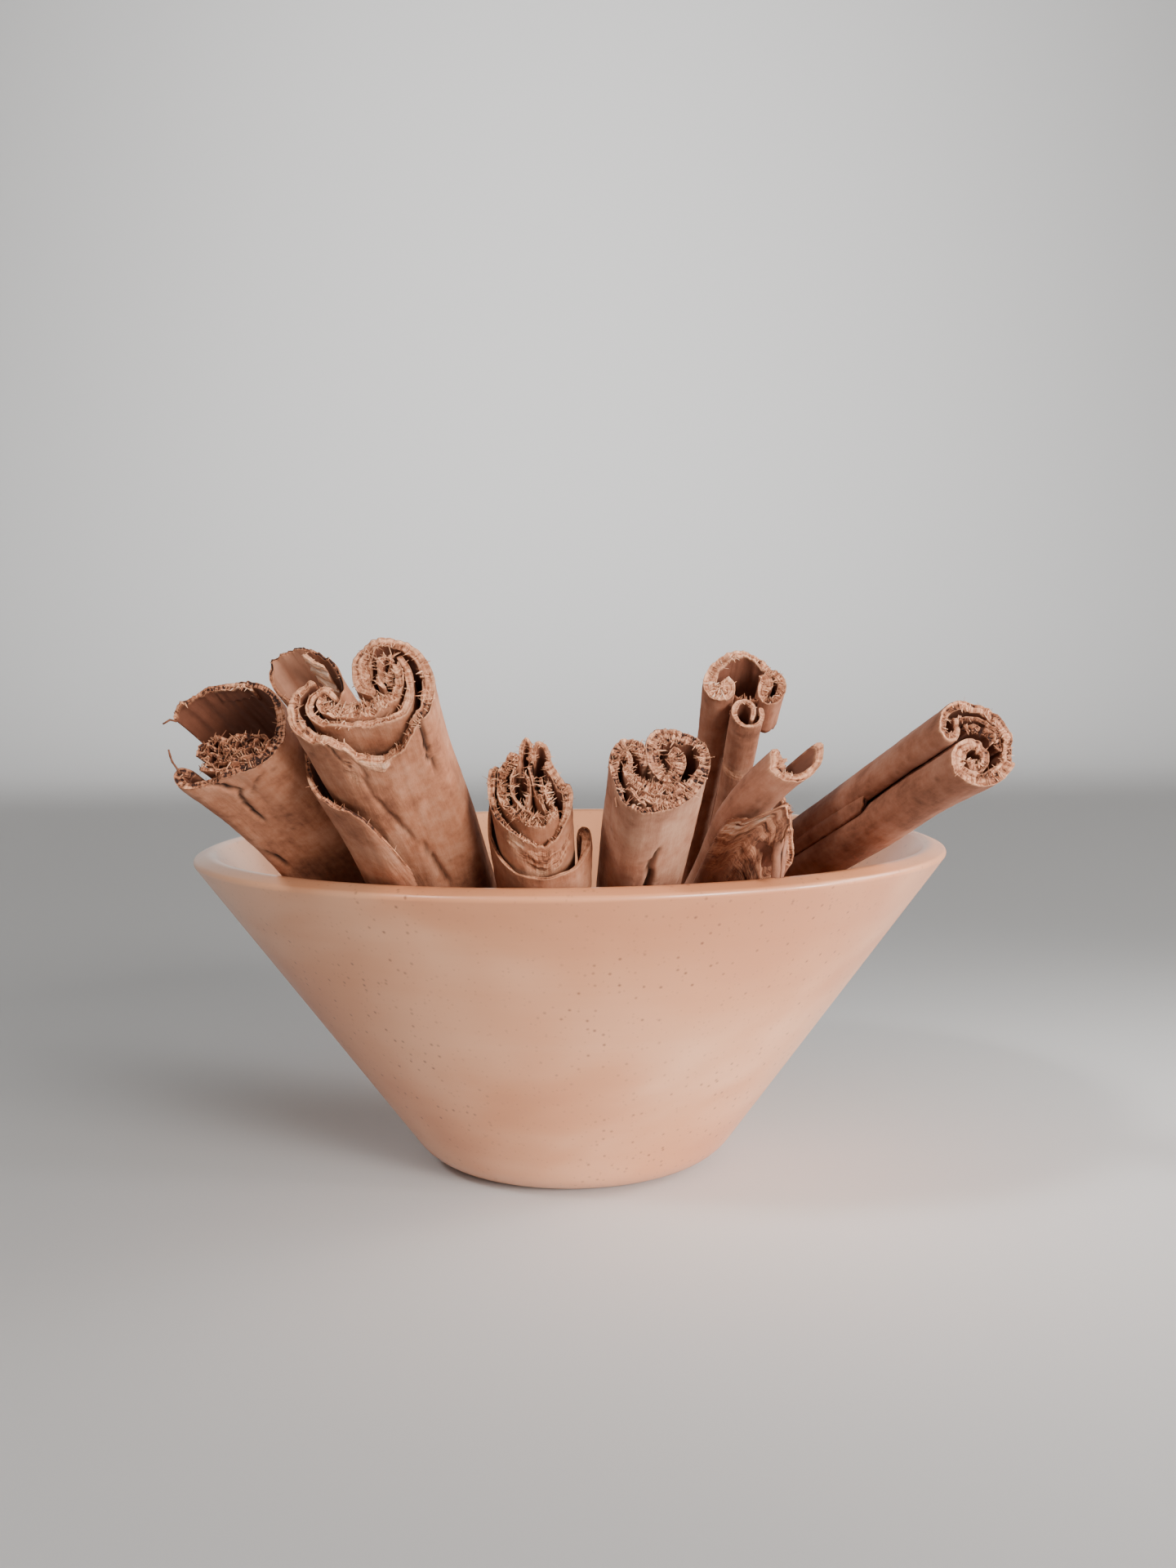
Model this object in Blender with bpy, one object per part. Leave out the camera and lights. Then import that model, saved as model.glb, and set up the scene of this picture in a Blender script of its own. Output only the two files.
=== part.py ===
"""Cinnamon quills leaning in a turned wooden bowl.

The tables are in millimetres and the scene is in metres. The bowl stands on the origin with its
axis up Z. The quills lean over the front of its rim, which faces -Y.
"""

import math
import random
from dataclasses import dataclass

import bmesh
import bpy
from mathutils import Vector

MM = 0.001

RIM_CORNER = 61.6
RIM_HEIGHT = 51.5
RIM_OUTER_ROUND = 1.6
RIM_INNER_ROUND = 2.0
MOUTH_RADIUS = 56.6
BASE_CORNER = 20.9
BASE_ROUND = 5.0
FLOOR_RADIUS = 20.0
FLOOR_HEIGHT = 7.5
FLOOR_ROUND = 4.0
BOWL_STEPS = 60

BARK_STEP = 1.5
BARK_TURN = math.radians(24.0)
STATIONS = (0.0, 0.3, 0.6, 0.8, 0.92, 1.0)
FLARE = 0.6


@dataclass
class Sheet:
    """One rolled sheet of bark. Its path holds (across, up, height above the end plane)."""

    name: str
    path: list
    thickness: float = 1.1
    ragged: float = 0.2
    drop: float = 0.0
    colour: tuple = (0.36, 0.19, 0.11)


@dataclass
class Quill:
    """A rolled stick from its bottom point to its top point, with an end cut at a slope."""

    top: tuple
    bottom: tuple
    slope: float
    taper: float
    sheets: list
    lean: tuple = (1.0, 0.0, 0.0)
    bow: float = 0.0


def spiral(centre, radius, pitch, start, turns, squash=1.0, heights=(0.0,)):
    """Control points of a spiral that winds inwards anticlockwise, with heights repeated along it."""
    points = []
    count = max(4, round(turns * 8))
    for i in range(count + 1):
        turned = turns * i / count
        angle = math.radians(start) + 2 * math.pi * turned
        reach = radius - pitch * turned
        points.append(
            (
                centre[0] + reach * math.cos(angle),
                centre[1] + reach * squash * math.sin(angle),
                heights[i % len(heights)],
            )
        )
    return points


def smooth(points):
    """A fine Catmull-Rom curve through the control points."""
    p = [Vector(q) for q in points]
    p = [2 * p[0] - p[1], *p, 2 * p[-1] - p[-2]]
    curve = []
    for a, b, c, d in zip(p, p[1:], p[2:], p[3:]):
        count = max(2, round((c - b).length / 0.1))
        for i in range(count):
            t = i / count
            curve.append(
                0.5
                * (
                    2 * b
                    + (c - a) * t
                    + (2 * a - 5 * b + 4 * c - d) * t * t
                    + (3 * b - a - 3 * c + d) * t**3
                )
            )
    return [*curve, p[-2]]


def thinned(curve, step, turn):
    """The fewest points of a fine curve that keep each edge under a length and each bend under an angle."""
    kept, normals = [], []

    def side(i):
        ahead = curve[min(i + 1, len(curve) - 1)] - curve[max(i - 1, 0)]
        return Vector((-ahead.y, ahead.x)).normalized()

    last, length, bend = 0, 0.0, 0.0
    for i in range(len(curve)):
        if i:
            length += (curve[i] - curve[i - 1]).to_2d().length
            bend += abs(side(i).angle(side(i - 1), 0.0))
        if i == 0 or length > step or bend > turn or i == len(curve) - 1:
            if i == len(curve) - 1 and length < 0.35 * step and len(kept) > 1:
                kept.pop()
                normals.pop()
            kept.append(curve[i])
            normals.append(side(i))
            last, length, bend = i, 0.0, 0.0
    return kept, normals


def frame_of(quill):
    """The unit axis up the quill, and the directions across and up its section."""
    axis = (Vector(quill.top) - Vector(quill.bottom)).normalized()
    across = Vector((1.0, 0.0, 0.0))
    across = (across - across.dot(axis) * axis).normalized()
    return axis, across, axis.cross(across)


def sheet_mesh(quill, sheet):
    """The closed solid of one sheet, extruded along the quill from its bottom to its top."""
    axis, across, up = frame_of(quill)
    length = (Vector(quill.top) - Vector(quill.bottom)).length
    points, sides = thinned(smooth(sheet.path), BARK_STEP, BARK_TURN)
    dice = random.Random(sheet.name)
    tops = [p.z + sheet.drop + quill.slope * p.y + dice.uniform(-1, 1) * sheet.ragged for p in points]
    feet = [dice.uniform(-0.3, 0.3) for _ in points]

    def place(i, side, t):
        along = t * (length + tops[i]) + (1 - t) * feet[i]
        scale = 1 - (1 - quill.taper) * (1 - t) ** FLARE
        flat = (points[i].to_2d() + sides[i] * side * sheet.thickness / 2) * scale
        reach, lean_across, lean_up = quill.lean
        leaned = max(0.0, 1 - (length - along) / reach) ** 2
        bowed = quill.bow * 4 * t * (1 - t)
        spot = (
            Vector(quill.bottom)
            + axis * along
            + across * (flat.x + lean_across * leaned)
            + up * (flat.y + lean_up * leaned + bowed)
        )
        return spot * MM

    mesh = bmesh.new()
    slot = mesh.verts.layers.int.new("slot")
    rows = []
    for i in range(len(points)):
        row = []
        for k, side in enumerate((-1, 1)):
            vert = mesh.verts.new(place(i, side, 0.0))
            vert[slot] = 2 * i + k
            row.append(vert)
        rows.append(row)
    faces = [
        mesh.faces.new((a[0], a[1], b[1], b[0])) for a, b in zip(rows, rows[1:])
    ]
    for t in STATIONS[1:]:
        made = bmesh.ops.extrude_face_region(mesh, geom=faces)["geom"]
        if t > STATIONS[1]:
            bmesh.ops.delete(mesh, geom=faces, context="FACES_ONLY")
        faces = [g for g in made if isinstance(g, bmesh.types.BMFace)]
        for g in made:
            if isinstance(g, bmesh.types.BMVert):
                g.co = place(g[slot] // 2, (-1, 1)[g[slot] % 2], t)
    bmesh.ops.recalc_face_normals(mesh, faces=mesh.faces[:])
    return mesh


def rounded(corners):
    """A profile in (radius, height) through corners of (radius, height, rounding, segments)."""
    line = [Vector(corners[0][:2])]
    for before, (r, z, rounding, segments), after in zip(corners, corners[1:], corners[2:]):
        corner = Vector((r, z))
        back = (Vector(before[:2]) - corner).normalized()
        on = (Vector(after[:2]) - corner).normalized()
        half = back.angle(on) / 2
        centre = corner + (back + on).normalized() * rounding / math.sin(half)
        start = corner + back * rounding / math.tan(half) - centre
        sweep = start.angle_signed(corner + on * rounding / math.tan(half) - centre)
        for i in range(segments + 1):
            a = -sweep * i / segments
            line.append(
                centre
                + Vector(
                    (
                        start.x * math.cos(a) - start.y * math.sin(a),
                        start.x * math.sin(a) + start.y * math.cos(a),
                    )
                )
            )
    line.append(Vector(corners[-1][:2]))
    return line


def bowl_mesh():
    """The bowl: one profile from the middle of its foot, over the rim, to the middle of its floor."""
    profile = rounded(
        [
            (0.0, 0.0, 0.0, 0),
            (BASE_CORNER, 0.0, BASE_ROUND, 4),
            (RIM_CORNER, RIM_HEIGHT, RIM_OUTER_ROUND, 5),
            (MOUTH_RADIUS, RIM_HEIGHT, RIM_INNER_ROUND, 3),
            (FLOOR_RADIUS, FLOOR_HEIGHT, FLOOR_ROUND, 3),
            (0.0, FLOOR_HEIGHT, 0.0, 0),
        ]
    )
    mesh = bmesh.new()
    verts = [mesh.verts.new((p.x * MM, 0.0, p.y * MM)) for p in profile]
    edges = [mesh.edges.new(pair) for pair in zip(verts, verts[1:])]
    bmesh.ops.spin(
        mesh,
        geom=verts + edges,
        cent=(0.0, 0.0, 0.0),
        axis=(0.0, 0.0, 1.0),
        angle=2 * math.pi,
        steps=BOWL_STEPS,
    )
    bmesh.ops.remove_doubles(mesh, verts=mesh.verts[:], dist=1e-6)
    bmesh.ops.recalc_face_normals(mesh, faces=mesh.faces[:])
    return mesh


def add_node(name, mesh, colour, home):
    """Turns a bmesh into a named object with its own plain material."""
    data = bpy.data.meshes.new(name)
    mesh.to_mesh(data)
    mesh.free()
    material = bpy.data.materials.new(name)
    material.use_nodes = True
    shader = material.node_tree.nodes["Principled BSDF"]
    shader.inputs["Base Color"].default_value = (*colour, 1.0)
    shader.inputs["Roughness"].default_value = 0.7
    data.materials.append(material)
    home.objects.link(bpy.data.objects.new(name, data))


FLARED = Quill(
    top=(-41.4, -59.4, 74.9),
    bottom=(-17.9, 10.2, 18.7),
    slope=0.11,
    taper=0.74,
    lean=(30.0, 0.0, -2.7),
    sheets=[
        Sheet(
            "quill_flared",
            [
                (-8.8, 4.0, -0.3), (-7.7, 5.3, 0.1), (-6.0, 6.2, 0.2), (-3.7, 6.8, 0.5),
                (0.3, 6.9, 0.2), (3.7, 5.8, 0.6), (5.6, 3.5, 0.0), (6.4, 0.6, -0.5),
                (6.2, -2.0, -0.1), (5.0, -4.2, 0.0), (3.0, -5.4, 0.0), (0.8, -5.8, 0.0),
                (-2.0, -6.1, -0.3), (-4.5, -6.4, -0.7), (-6.1, -6.5, -0.4),
                (-7.3, -5.6, 0.0), (-7.0, -4.5, 0.1), (-5.5, -4.6, -0.6),
            ],
            thickness=1.0,
        ),
        Sheet(
            "quill_flared_core",
            [
                (-5.0, -2.2, -0.5), (-2.9, -0.9, 0.2), (0.4, -0.6, 0.4), (3.0, -0.9, 0.3),
                (4.5, -1.9, 0.0), (3.7, -3.3, 0.3), (1.4, -4.2, 0.2), (-1.4, -4.5, 0.0),
                (-3.6, -4.8, -0.4),
            ],
            thickness=1.0,
            ragged=0.7,
        ),
    ],
)

SPLIT = Quill(
    top=(-38.9, -21.0, 78.7),
    bottom=(0.8, 7.7, 10.0),
    slope=0.59,
    taper=0.74,
    sheets=[
        Sheet(
            "quill_split",
            [
                (-3.5, 0.3, -3.0), (-5.5, 2.3, -1.5), (-6.1, 4.7, -0.5), (-5.1, 6.3, 0.0),
                (-2.7, 6.5, 0.3), (0.1, 5.7, 0.4), (2.4, 3.8, -0.2), (4.3, 1.3, 0.0),
                (5.2, -1.2, -0.3), (4.6, -2.8, -1.5), (3.0, -2.6, -3.0),
            ],
            thickness=0.9,
        ),
    ],
)

WIDE = Quill(
    top=(-24.3, -67.7, 77.2),
    bottom=(-9.2, -2.0, 12.4),
    slope=0.29,
    taper=0.72,
    lean=(30.0, 0.0, -1.0),
    sheets=[
        Sheet(
            "quill_wide",
            [
                (-5.8, 3.7, -0.2), (-7.2, 3.3, 0.0), (-8.4, 1.9, 0.1), (-8.7, 0.1, 0.0),
                (-8.4, -1.5, 0.0), (-7.4, -3.0, 0.1), (-5.8, -4.0, 0.0), (-3.9, -4.7, -0.2),
                (-1.2, -5.0, -1.2), (1.8, -4.9, -4.3), (4.4, -4.3, -3.0), (6.7, -3.2, -0.6),
                (8.1, -1.8, 0.0), (8.5, 0.1, 0.1), (8.5, 2.1, 0.0), (7.9, 4.0, 0.2),
                (6.8, 5.8, 0.1), (5.5, 7.0, 0.0), (3.7, 7.6, 0.2), (1.8, 7.6, 0.1),
                (0.3, 6.9, 0.0), (-0.6, 5.5, -0.2), (-0.7, 3.7, -0.4), (0.2, 2.1, -0.3),
                (1.7, 1.4, -0.6),
            ],
            thickness=1.2,
        ),
        Sheet(
            "quill_wide_core",
            [
                (-3.3, 1.4, -0.5), (-4.7, 2.0, 0.0), (-5.9, 1.6, 0.2), (-6.3, 0.4, 0.0),
                (-5.9, -0.9, 0.1), (-4.7, -1.9, 0.0), (-2.8, -2.6, 0.3), (0.3, -2.9, 0.1),
                (3.4, -2.5, 0.2), (5.5, -1.4, 0.0), (6.2, 0.6, 0.3), (6.0, 2.8, 0.4),
                (5.2, 4.4, 0.2), (4.0, 5.2, 0.0), (3.2, 4.4, -0.3), (3.6, 2.7, 0.2),
            ],
            thickness=1.2,
            ragged=0.4,
        ),
        Sheet(
            "quill_wide_wrap",
            [
                (-7.9, 5.4, -8.0), (-9.6, 3.6, -9.4), (-10.2, 0.6, -9.8), (-10.0, -2.1, -9.8),
                (-8.9, -4.4, -10.2), (-6.9, -5.8, -10.5), (-4.8, -6.6, -10.8),
                (-3.3, -7.0, -13.0), (-1.9, -7.1, -19.0), (-0.6, -7.1, -24.4),
            ],
            thickness=1.0,
            ragged=0.4,
        ),
    ],
)

UPRIGHT = Quill(
    top=(-4.3, -57.2, 65.3),
    bottom=(-0.6, -14.7, 12.1),
    slope=0.36,
    taper=0.76,
    sheets=[
        Sheet(
            "quill_upright",
            [
                (-4.9, 4.0, 3.0), (-5.9, 2.3, 1.5), (-6.3, 0.3, 0.2),
                (-5.7, -2.6, 0.0), (-4.3, -5.0, 0.0), (-2.0, -6.7, 0.0), (1.1, -7.4, 0.0),
                (3.5, -6.9, 0.0), (5.4, -6.0, 0.0), (6.6, -4.7, 0.0), (7.2, -3.1, 0.0),
                (7.1, -1.5, 0.2), (6.4, -0.9, 0.0), (6.0, -1.9, -0.5),
            ],
            thickness=0.8,
            ragged=0.05,
            drop=-7.0,
        ),
        Sheet(
            "quill_upright_core",
            spiral(
                (0.0, -0.3), 5.2, 1.5, 100, 2.2, squash=1.05,
                heights=(
                    0.9, 1.3, 0.4, 0.2, -0.2, -0.6, -1.3, -0.5, 0.4, 1.6, 1.0, -0.2,
                    0.6, -0.6, 0.4, 0.8, 1.8, 2.6, 1.4,
                ),
            ),
            thickness=1.1,
            ragged=0.6,
        ),
    ],
)

HEART = Quill(
    top=(12.0, -63.6, 67.5),
    bottom=(4.9, 0.3, 11.8),
    slope=0.19,
    taper=0.8,
    sheets=[
        Sheet(
            "quill_heart",
            [
                (-2.1, 0.7, 0.0), (-2.0, 2.1, 0.0), (-2.6, 3.3, 0.1), (-3.8, 3.8, 0.0),
                (-5.0, 3.4, 0.0), (-5.7, 2.0, 0.0), (-5.8, 0.3, 0.0), (-5.3, -1.3, 0.0),
                (-4.9, -2.9, 0.0), (-4.1, -4.2, -0.1), (-3.1, -4.9, 0.0), (-1.9, -5.2, 0.0),
                (0.1, -4.9, 0.0), (2.1, -4.1, 0.0), (4.0, -2.6, 0.0), (5.2, -0.7, 0.0),
                (5.8, 1.3, 0.0), (5.5, 3.3, 0.0), (4.4, 4.5, 0.0), (2.5, 5.2, 0.0),
                (0.5, 5.5, 0.0), (-0.7, 4.8, 0.0), (-1.0, 3.6, 0.0), (-1.0, 1.9, -0.2),
                (-0.5, 0.1, -0.3), (0.8, -1.1, -0.2), (2.4, -0.6, -0.1), (3.3, 1.1, -0.2),
                (2.5, 2.7, -0.3), (1.2, 2.6, -0.5),
            ],
            thickness=1.1,
            ragged=0.15,
        ),
    ],
)

FLAT = Quill(
    top=(24.9, -40.4, 77.4),
    bottom=(18.6, 14.3, 17.8),
    slope=0.29,
    taper=0.8,
    sheets=[
        Sheet(
            "quill_flat",
            [
                (-2.8, 2.1, -0.2), (-1.8, 0.8, 0.0), (-1.9, -0.8, 0.1), (-3.1, -1.7, 0.0),
                (-4.6, -1.2, 0.0), (-5.4, 0.3, 0.0), (-4.9, 2.1, -0.1), (-3.6, 3.7, 0.0),
                (-1.8, 4.7, 0.1), (0.2, 4.9, 0.2), (2.2, 4.3, 0.0), (4.0, 3.2, -0.4),
                (5.2, 1.7, 0.0), (5.2, -0.3, 0.2), (4.1, -1.6, 0.0), (2.8, -1.4, -0.6),
                (2.3, 0.0, -0.2), (2.8, 1.4, 0.2),
            ],
            thickness=1.0,
            ragged=0.25,
        ),
    ],
)

THIN = Quill(
    top=(24.9, -40.4, 77.4),
    bottom=(19.5, 6.1, 26.7),
    slope=0.29,
    taper=0.85,
    sheets=[
        Sheet(
            "quill_thin",
            [
                (0.8, -4.7, -0.3), (1.2, -3.4, -0.2), (0.9, -2.4, 0.0), (-0.1, -1.9, 0.1),
                (-1.2, -2.4, 0.0), (-1.7, -3.7, 0.0), (-1.1, -5.1, 0.0), (0.4, -5.7, 0.0),
                (1.9, -5.1, 0.0), (2.4, -3.7, -0.1), (2.1, -2.5, -0.3),
            ],
            thickness=0.6,
            ragged=0.1,
        ),
    ],
)

BROKEN = Quill(
    top=(28.2, -57.6, 65.6),
    bottom=(11.5, 11.8, 12.8),
    slope=0.14,
    taper=0.78,
    lean=(15.0, 4.6, 1.5),
    sheets=[
        Sheet(
            "quill_broken",
            [
                (-0.9, 3.4, 0.5), (-0.5, 2.1, 0.0), (-0.8, 0.8, -0.1), (-1.8, -0.3, 0.0),
                (-3.3, -0.9, -0.1), (-4.8, -0.7, 0.0), (-5.7, 0.3, 0.1), (-5.9, 1.8, 0.3),
                (-5.4, 3.1, -0.6), (-4.0, 3.9, -1.2),
            ],
            thickness=1.1,
            ragged=0.25,
        ),
        Sheet(
            "quill_broken_belly",
            [
                (-6.1, -1.9, -2.6), (-5.5, -3.3, -1.2), (-4.3, -4.6, -0.6), (-2.3, -5.4, -2.0),
                (-0.9, -5.5, -4.5), (0.4, -5.6, -9.5), (1.5, -5.5, -11.0), (2.6, -5.1, -8.5),
                (3.7, -4.5, -10.5), (5.0, -3.4, -14.0), (5.9, -1.0, -16.0), (5.6, 1.4, -15.0),
                (4.2, 3.3, -12.0), (2.4, 4.1, -10.0),
            ],
            thickness=1.1,
            ragged=0.3,
        ),
        Sheet(
            "quill_broken_core",
            [
                (-3.2, -3.0, -3.0), (-1.6, -3.5, -4.0), (0.4, -3.6, -6.5), (2.2, -2.9, -9.0),
                (3.3, -1.2, -11.0), (3.1, 0.7, -11.0), (2.0, 1.6, -8.5), (1.2, 0.4, -7.0),
                (1.3, -1.2, -6.0),
            ],
            thickness=0.8,
            ragged=0.4,
        ),
    ],
)

LEANING = Quill(
    top=(53.3, -56.6, 70.0),
    bottom=(19.4, 26.9, 31.1),
    slope=0.07,
    taper=0.82,
    sheets=[
        Sheet(
            "quill_leaning",
            [
                (-3.9, 2.7, 0.0), (-3.3, 1.7, -0.1), (-3.7, 0.6, 0.0), (-4.8, 0.6, 0.0),
                (-5.2, 2.4, 0.0), (-4.0, 4.4, 0.1), (-2.1, 5.1, 0.2), (0.6, 4.8, 0.0),
                (3.2, 3.8, 0.2), (4.8, 1.9, 0.0), (4.8, -0.3, -0.6), (4.2, -2.6, 0.1),
                (2.1, -4.5, 0.0), (-0.4, -5.1, 0.1), (-2.6, -4.3, 0.0), (-3.7, -2.7, 0.0),
                (-3.2, -1.0, 0.0), (-1.6, 0.1, 0.1), (0.3, -0.1, 0.0), (1.2, -1.4, -0.1),
                (0.5, -2.7, 0.0), (-0.8, -2.9, -0.1), (-1.4, -1.8, 0.0),
            ],
            thickness=1.1,
            ragged=0.3,
        ),
    ],
)

QUILLS = (FLARED, SPLIT, WIDE, UPRIGHT, HEART, FLAT, THIN, BROKEN, LEANING)


def main():
    for item in list(bpy.data.objects):
        bpy.data.objects.remove(item, do_unlink=True)
    home = bpy.data.collections.new("cinnamon_quills_in_bowl")
    bpy.context.scene.collection.children.link(home)
    add_node("bowl", bowl_mesh(), (0.62, 0.42, 0.3), home)
    for quill in QUILLS:
        for sheet in quill.sheets:
            add_node(sheet.name, sheet_mesh(quill, sheet), sheet.colour, home)


main()
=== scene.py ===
"""Looks of rolled cinnamon bark that leans over the front rim of a small turned wooden bowl.

The tables are in millimetres and the scene is in metres. The bowl stands on the origin with its
axis up Z, and the quills lean over the side of the rim that faces -Y.
"""

import logging
import math
from dataclasses import dataclass
from enum import Enum
from typing import NamedTuple

import bmesh
import bpy
import numpy as np
from mathutils import Matrix, Vector


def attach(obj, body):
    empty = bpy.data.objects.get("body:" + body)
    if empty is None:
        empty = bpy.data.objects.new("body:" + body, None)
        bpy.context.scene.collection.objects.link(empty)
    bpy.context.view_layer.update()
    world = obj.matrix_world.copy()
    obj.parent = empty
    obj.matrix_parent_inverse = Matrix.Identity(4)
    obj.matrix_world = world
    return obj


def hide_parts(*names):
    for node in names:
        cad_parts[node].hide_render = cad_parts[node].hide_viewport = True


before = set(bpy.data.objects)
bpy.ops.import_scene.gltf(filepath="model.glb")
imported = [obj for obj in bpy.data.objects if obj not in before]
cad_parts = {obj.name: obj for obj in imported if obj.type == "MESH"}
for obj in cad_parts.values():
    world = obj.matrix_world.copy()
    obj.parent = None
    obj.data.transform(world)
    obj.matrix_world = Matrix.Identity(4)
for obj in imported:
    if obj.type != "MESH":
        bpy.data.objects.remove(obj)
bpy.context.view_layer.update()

MM = 0.001
# How the quills taper and bend, in millimetres.
FLARE = 0.6
SWAY = 0.22
STRAIGHT_END = 12.0
# Rows of faces across a torn end and across a foot, and columns a shred of the torn face takes.
CAP_ROWS = 12
FOOT_ROWS = 6
SHRED_COLUMNS = 1.33
# How far down a sheet its torn roughness and its bare edge reach, in millimetres.
TORN_REACH = 0.7
EDGE_REACH = 0.28
# The narrowest and the widest torn fibre, in millimetres.
SHARD_WIDTH = (0.07, 0.17)
# Centimetres of the bark map for each millimetre.
MAP_SCALE = 0.1
# How near points lie that are merged along a seam, in metres.
SEAM = 2e-6

Colour = tuple[float, float, float]
Place = tuple[float, float, float]
logging.basicConfig(level=logging.INFO, format="%(message)s")
log = logging.getLogger("cinnamon")


def srgb(red: int, green: int, blue: int) -> Colour:
    """The linear colour of a screen colour."""
    return tuple(
        c / 255 / 12.92 if c <= 10 else ((c / 255 + 0.055) / 1.055) ** 2.4 for c in (red, green, blue)
    )


def finished(mesh: bmesh.types.BMesh, name: str, material: bpy.types.Material) -> bpy.types.Object:
    """Makes a smooth-shaded object in the scene.

    Args:
        mesh: its bmesh, which is freed.
        name: what it is called.
        material: its finish.

    Returns:
        The object.
    """
    data = bpy.data.meshes.new(name)
    mesh.to_mesh(data)
    mesh.free()
    data.shade_smooth()
    data.materials.append(material)
    piece = bpy.data.objects.new(name, data)
    bpy.context.scene.collection.objects.link(piece)
    return piece


def fold(name: str, spots: np.ndarray, plan: np.ndarray, marks: dict[str, np.ndarray]) -> bmesh.types.BMesh:
    """Folds a grid into a closed sheet.

    Args:
        name: what the sheet is called.
        spots: where each grid point goes, by row and column.
        plan: each grid point's place in the map.
        marks: each attribute's value at each grid point.

    Returns:
        A closed bmesh with its map and attributes.
    """
    count, width = spots.shape[:2]
    mesh = bmesh.new()
    bmesh.ops.create_grid(mesh, x_segments=width - 1, y_segments=count - 1, size=1.0)
    flat = bpy.data.meshes.new(name + "_flat")
    mesh.to_mesh(flat)
    mesh.free()
    co = np.empty(len(flat.vertices) * 3, np.float32)
    flat.vertices.foreach_get("co", co)
    co = co.reshape(-1, 3)
    column = np.rint((co[:, 0] + 1) / 2 * (width - 1)).astype(int)
    row = np.rint((co[:, 1] + 1) / 2 * (count - 1)).astype(int)
    flat.vertices.foreach_set("co", spots[row, column].astype(np.float32).ravel())
    for mark, values in marks.items():
        layer = flat.attributes.new(mark, "FLOAT", "POINT")
        layer.data.foreach_set("value", np.clip(values[row, column], -1.0, 1.0).astype(np.float32))
    corner = np.empty(len(flat.loops), np.int32)
    flat.loops.foreach_get("vertex_index", corner)
    unwrapped = flat.uv_layers.new(name="bark")
    unwrapped.data.foreach_set("uv", plan[row[corner], column[corner]].astype(np.float32).ravel())
    mesh = bmesh.new()
    mesh.from_mesh(flat)
    bpy.data.meshes.remove(flat)
    bmesh.ops.remove_doubles(mesh, verts=mesh.verts[:], dist=SEAM)
    bmesh.ops.recalc_face_normals(mesh, faces=mesh.faces[:])
    return mesh


def darker(colour: Colour, share: float) -> Colour:
    """A colour at a share of its brightness."""
    return tuple(c * share for c in colour)


class Noise:
    """Smooth noise over two coordinates, the same on each run."""

    def __init__(self, seed: int) -> None:
        """Fills the lattice.

        Args:
            seed: which lattice.
        """
        self.grid = np.random.default_rng(seed).uniform(-1.0, 1.0, (128, 128))

    def at(self, x: np.ndarray, y: np.ndarray) -> np.ndarray:
        """Noise between -1 and 1.

        Args:
            x, y: coordinates of one lattice step a unit.

        Returns:
            One value a point.
        """
        x, y = np.broadcast_arrays(np.asarray(x, float), np.asarray(y, float))
        i, j = np.floor(x).astype(int), np.floor(y).astype(int)
        u, v = x - i, y - j
        u, v = u * u * (3 - 2 * u), v * v * (3 - 2 * v)
        i, j, a, b = i % 128, j % 128, (i + 1) % 128, (j + 1) % 128
        low = self.grid[i, j] * (1 - u) + self.grid[a, j] * u
        high = self.grid[i, b] * (1 - u) + self.grid[a, b] * u
        return low * (1 - v) + high * v

    def rough(self, x: np.ndarray, y: np.ndarray, octaves: int) -> np.ndarray:
        """Noise with finer noise on it.

        Args:
            x, y: coordinates of one lattice step a unit.
            octaves: how many noises, each half as high and half as wide.

        Returns:
            One value a point, between about -1.7 and 1.7.
        """
        return sum(
            self.at(np.asarray(x) * 2**k + 17 * k, np.asarray(y) * 2**k + 31 * k) / 2**k
            for k in range(octaves)
        )


class Slot(Enum):
    """The material slots of the record."""

    WOOD = "bowl_wood"
    BARK = "cinnamon_bark"


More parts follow.
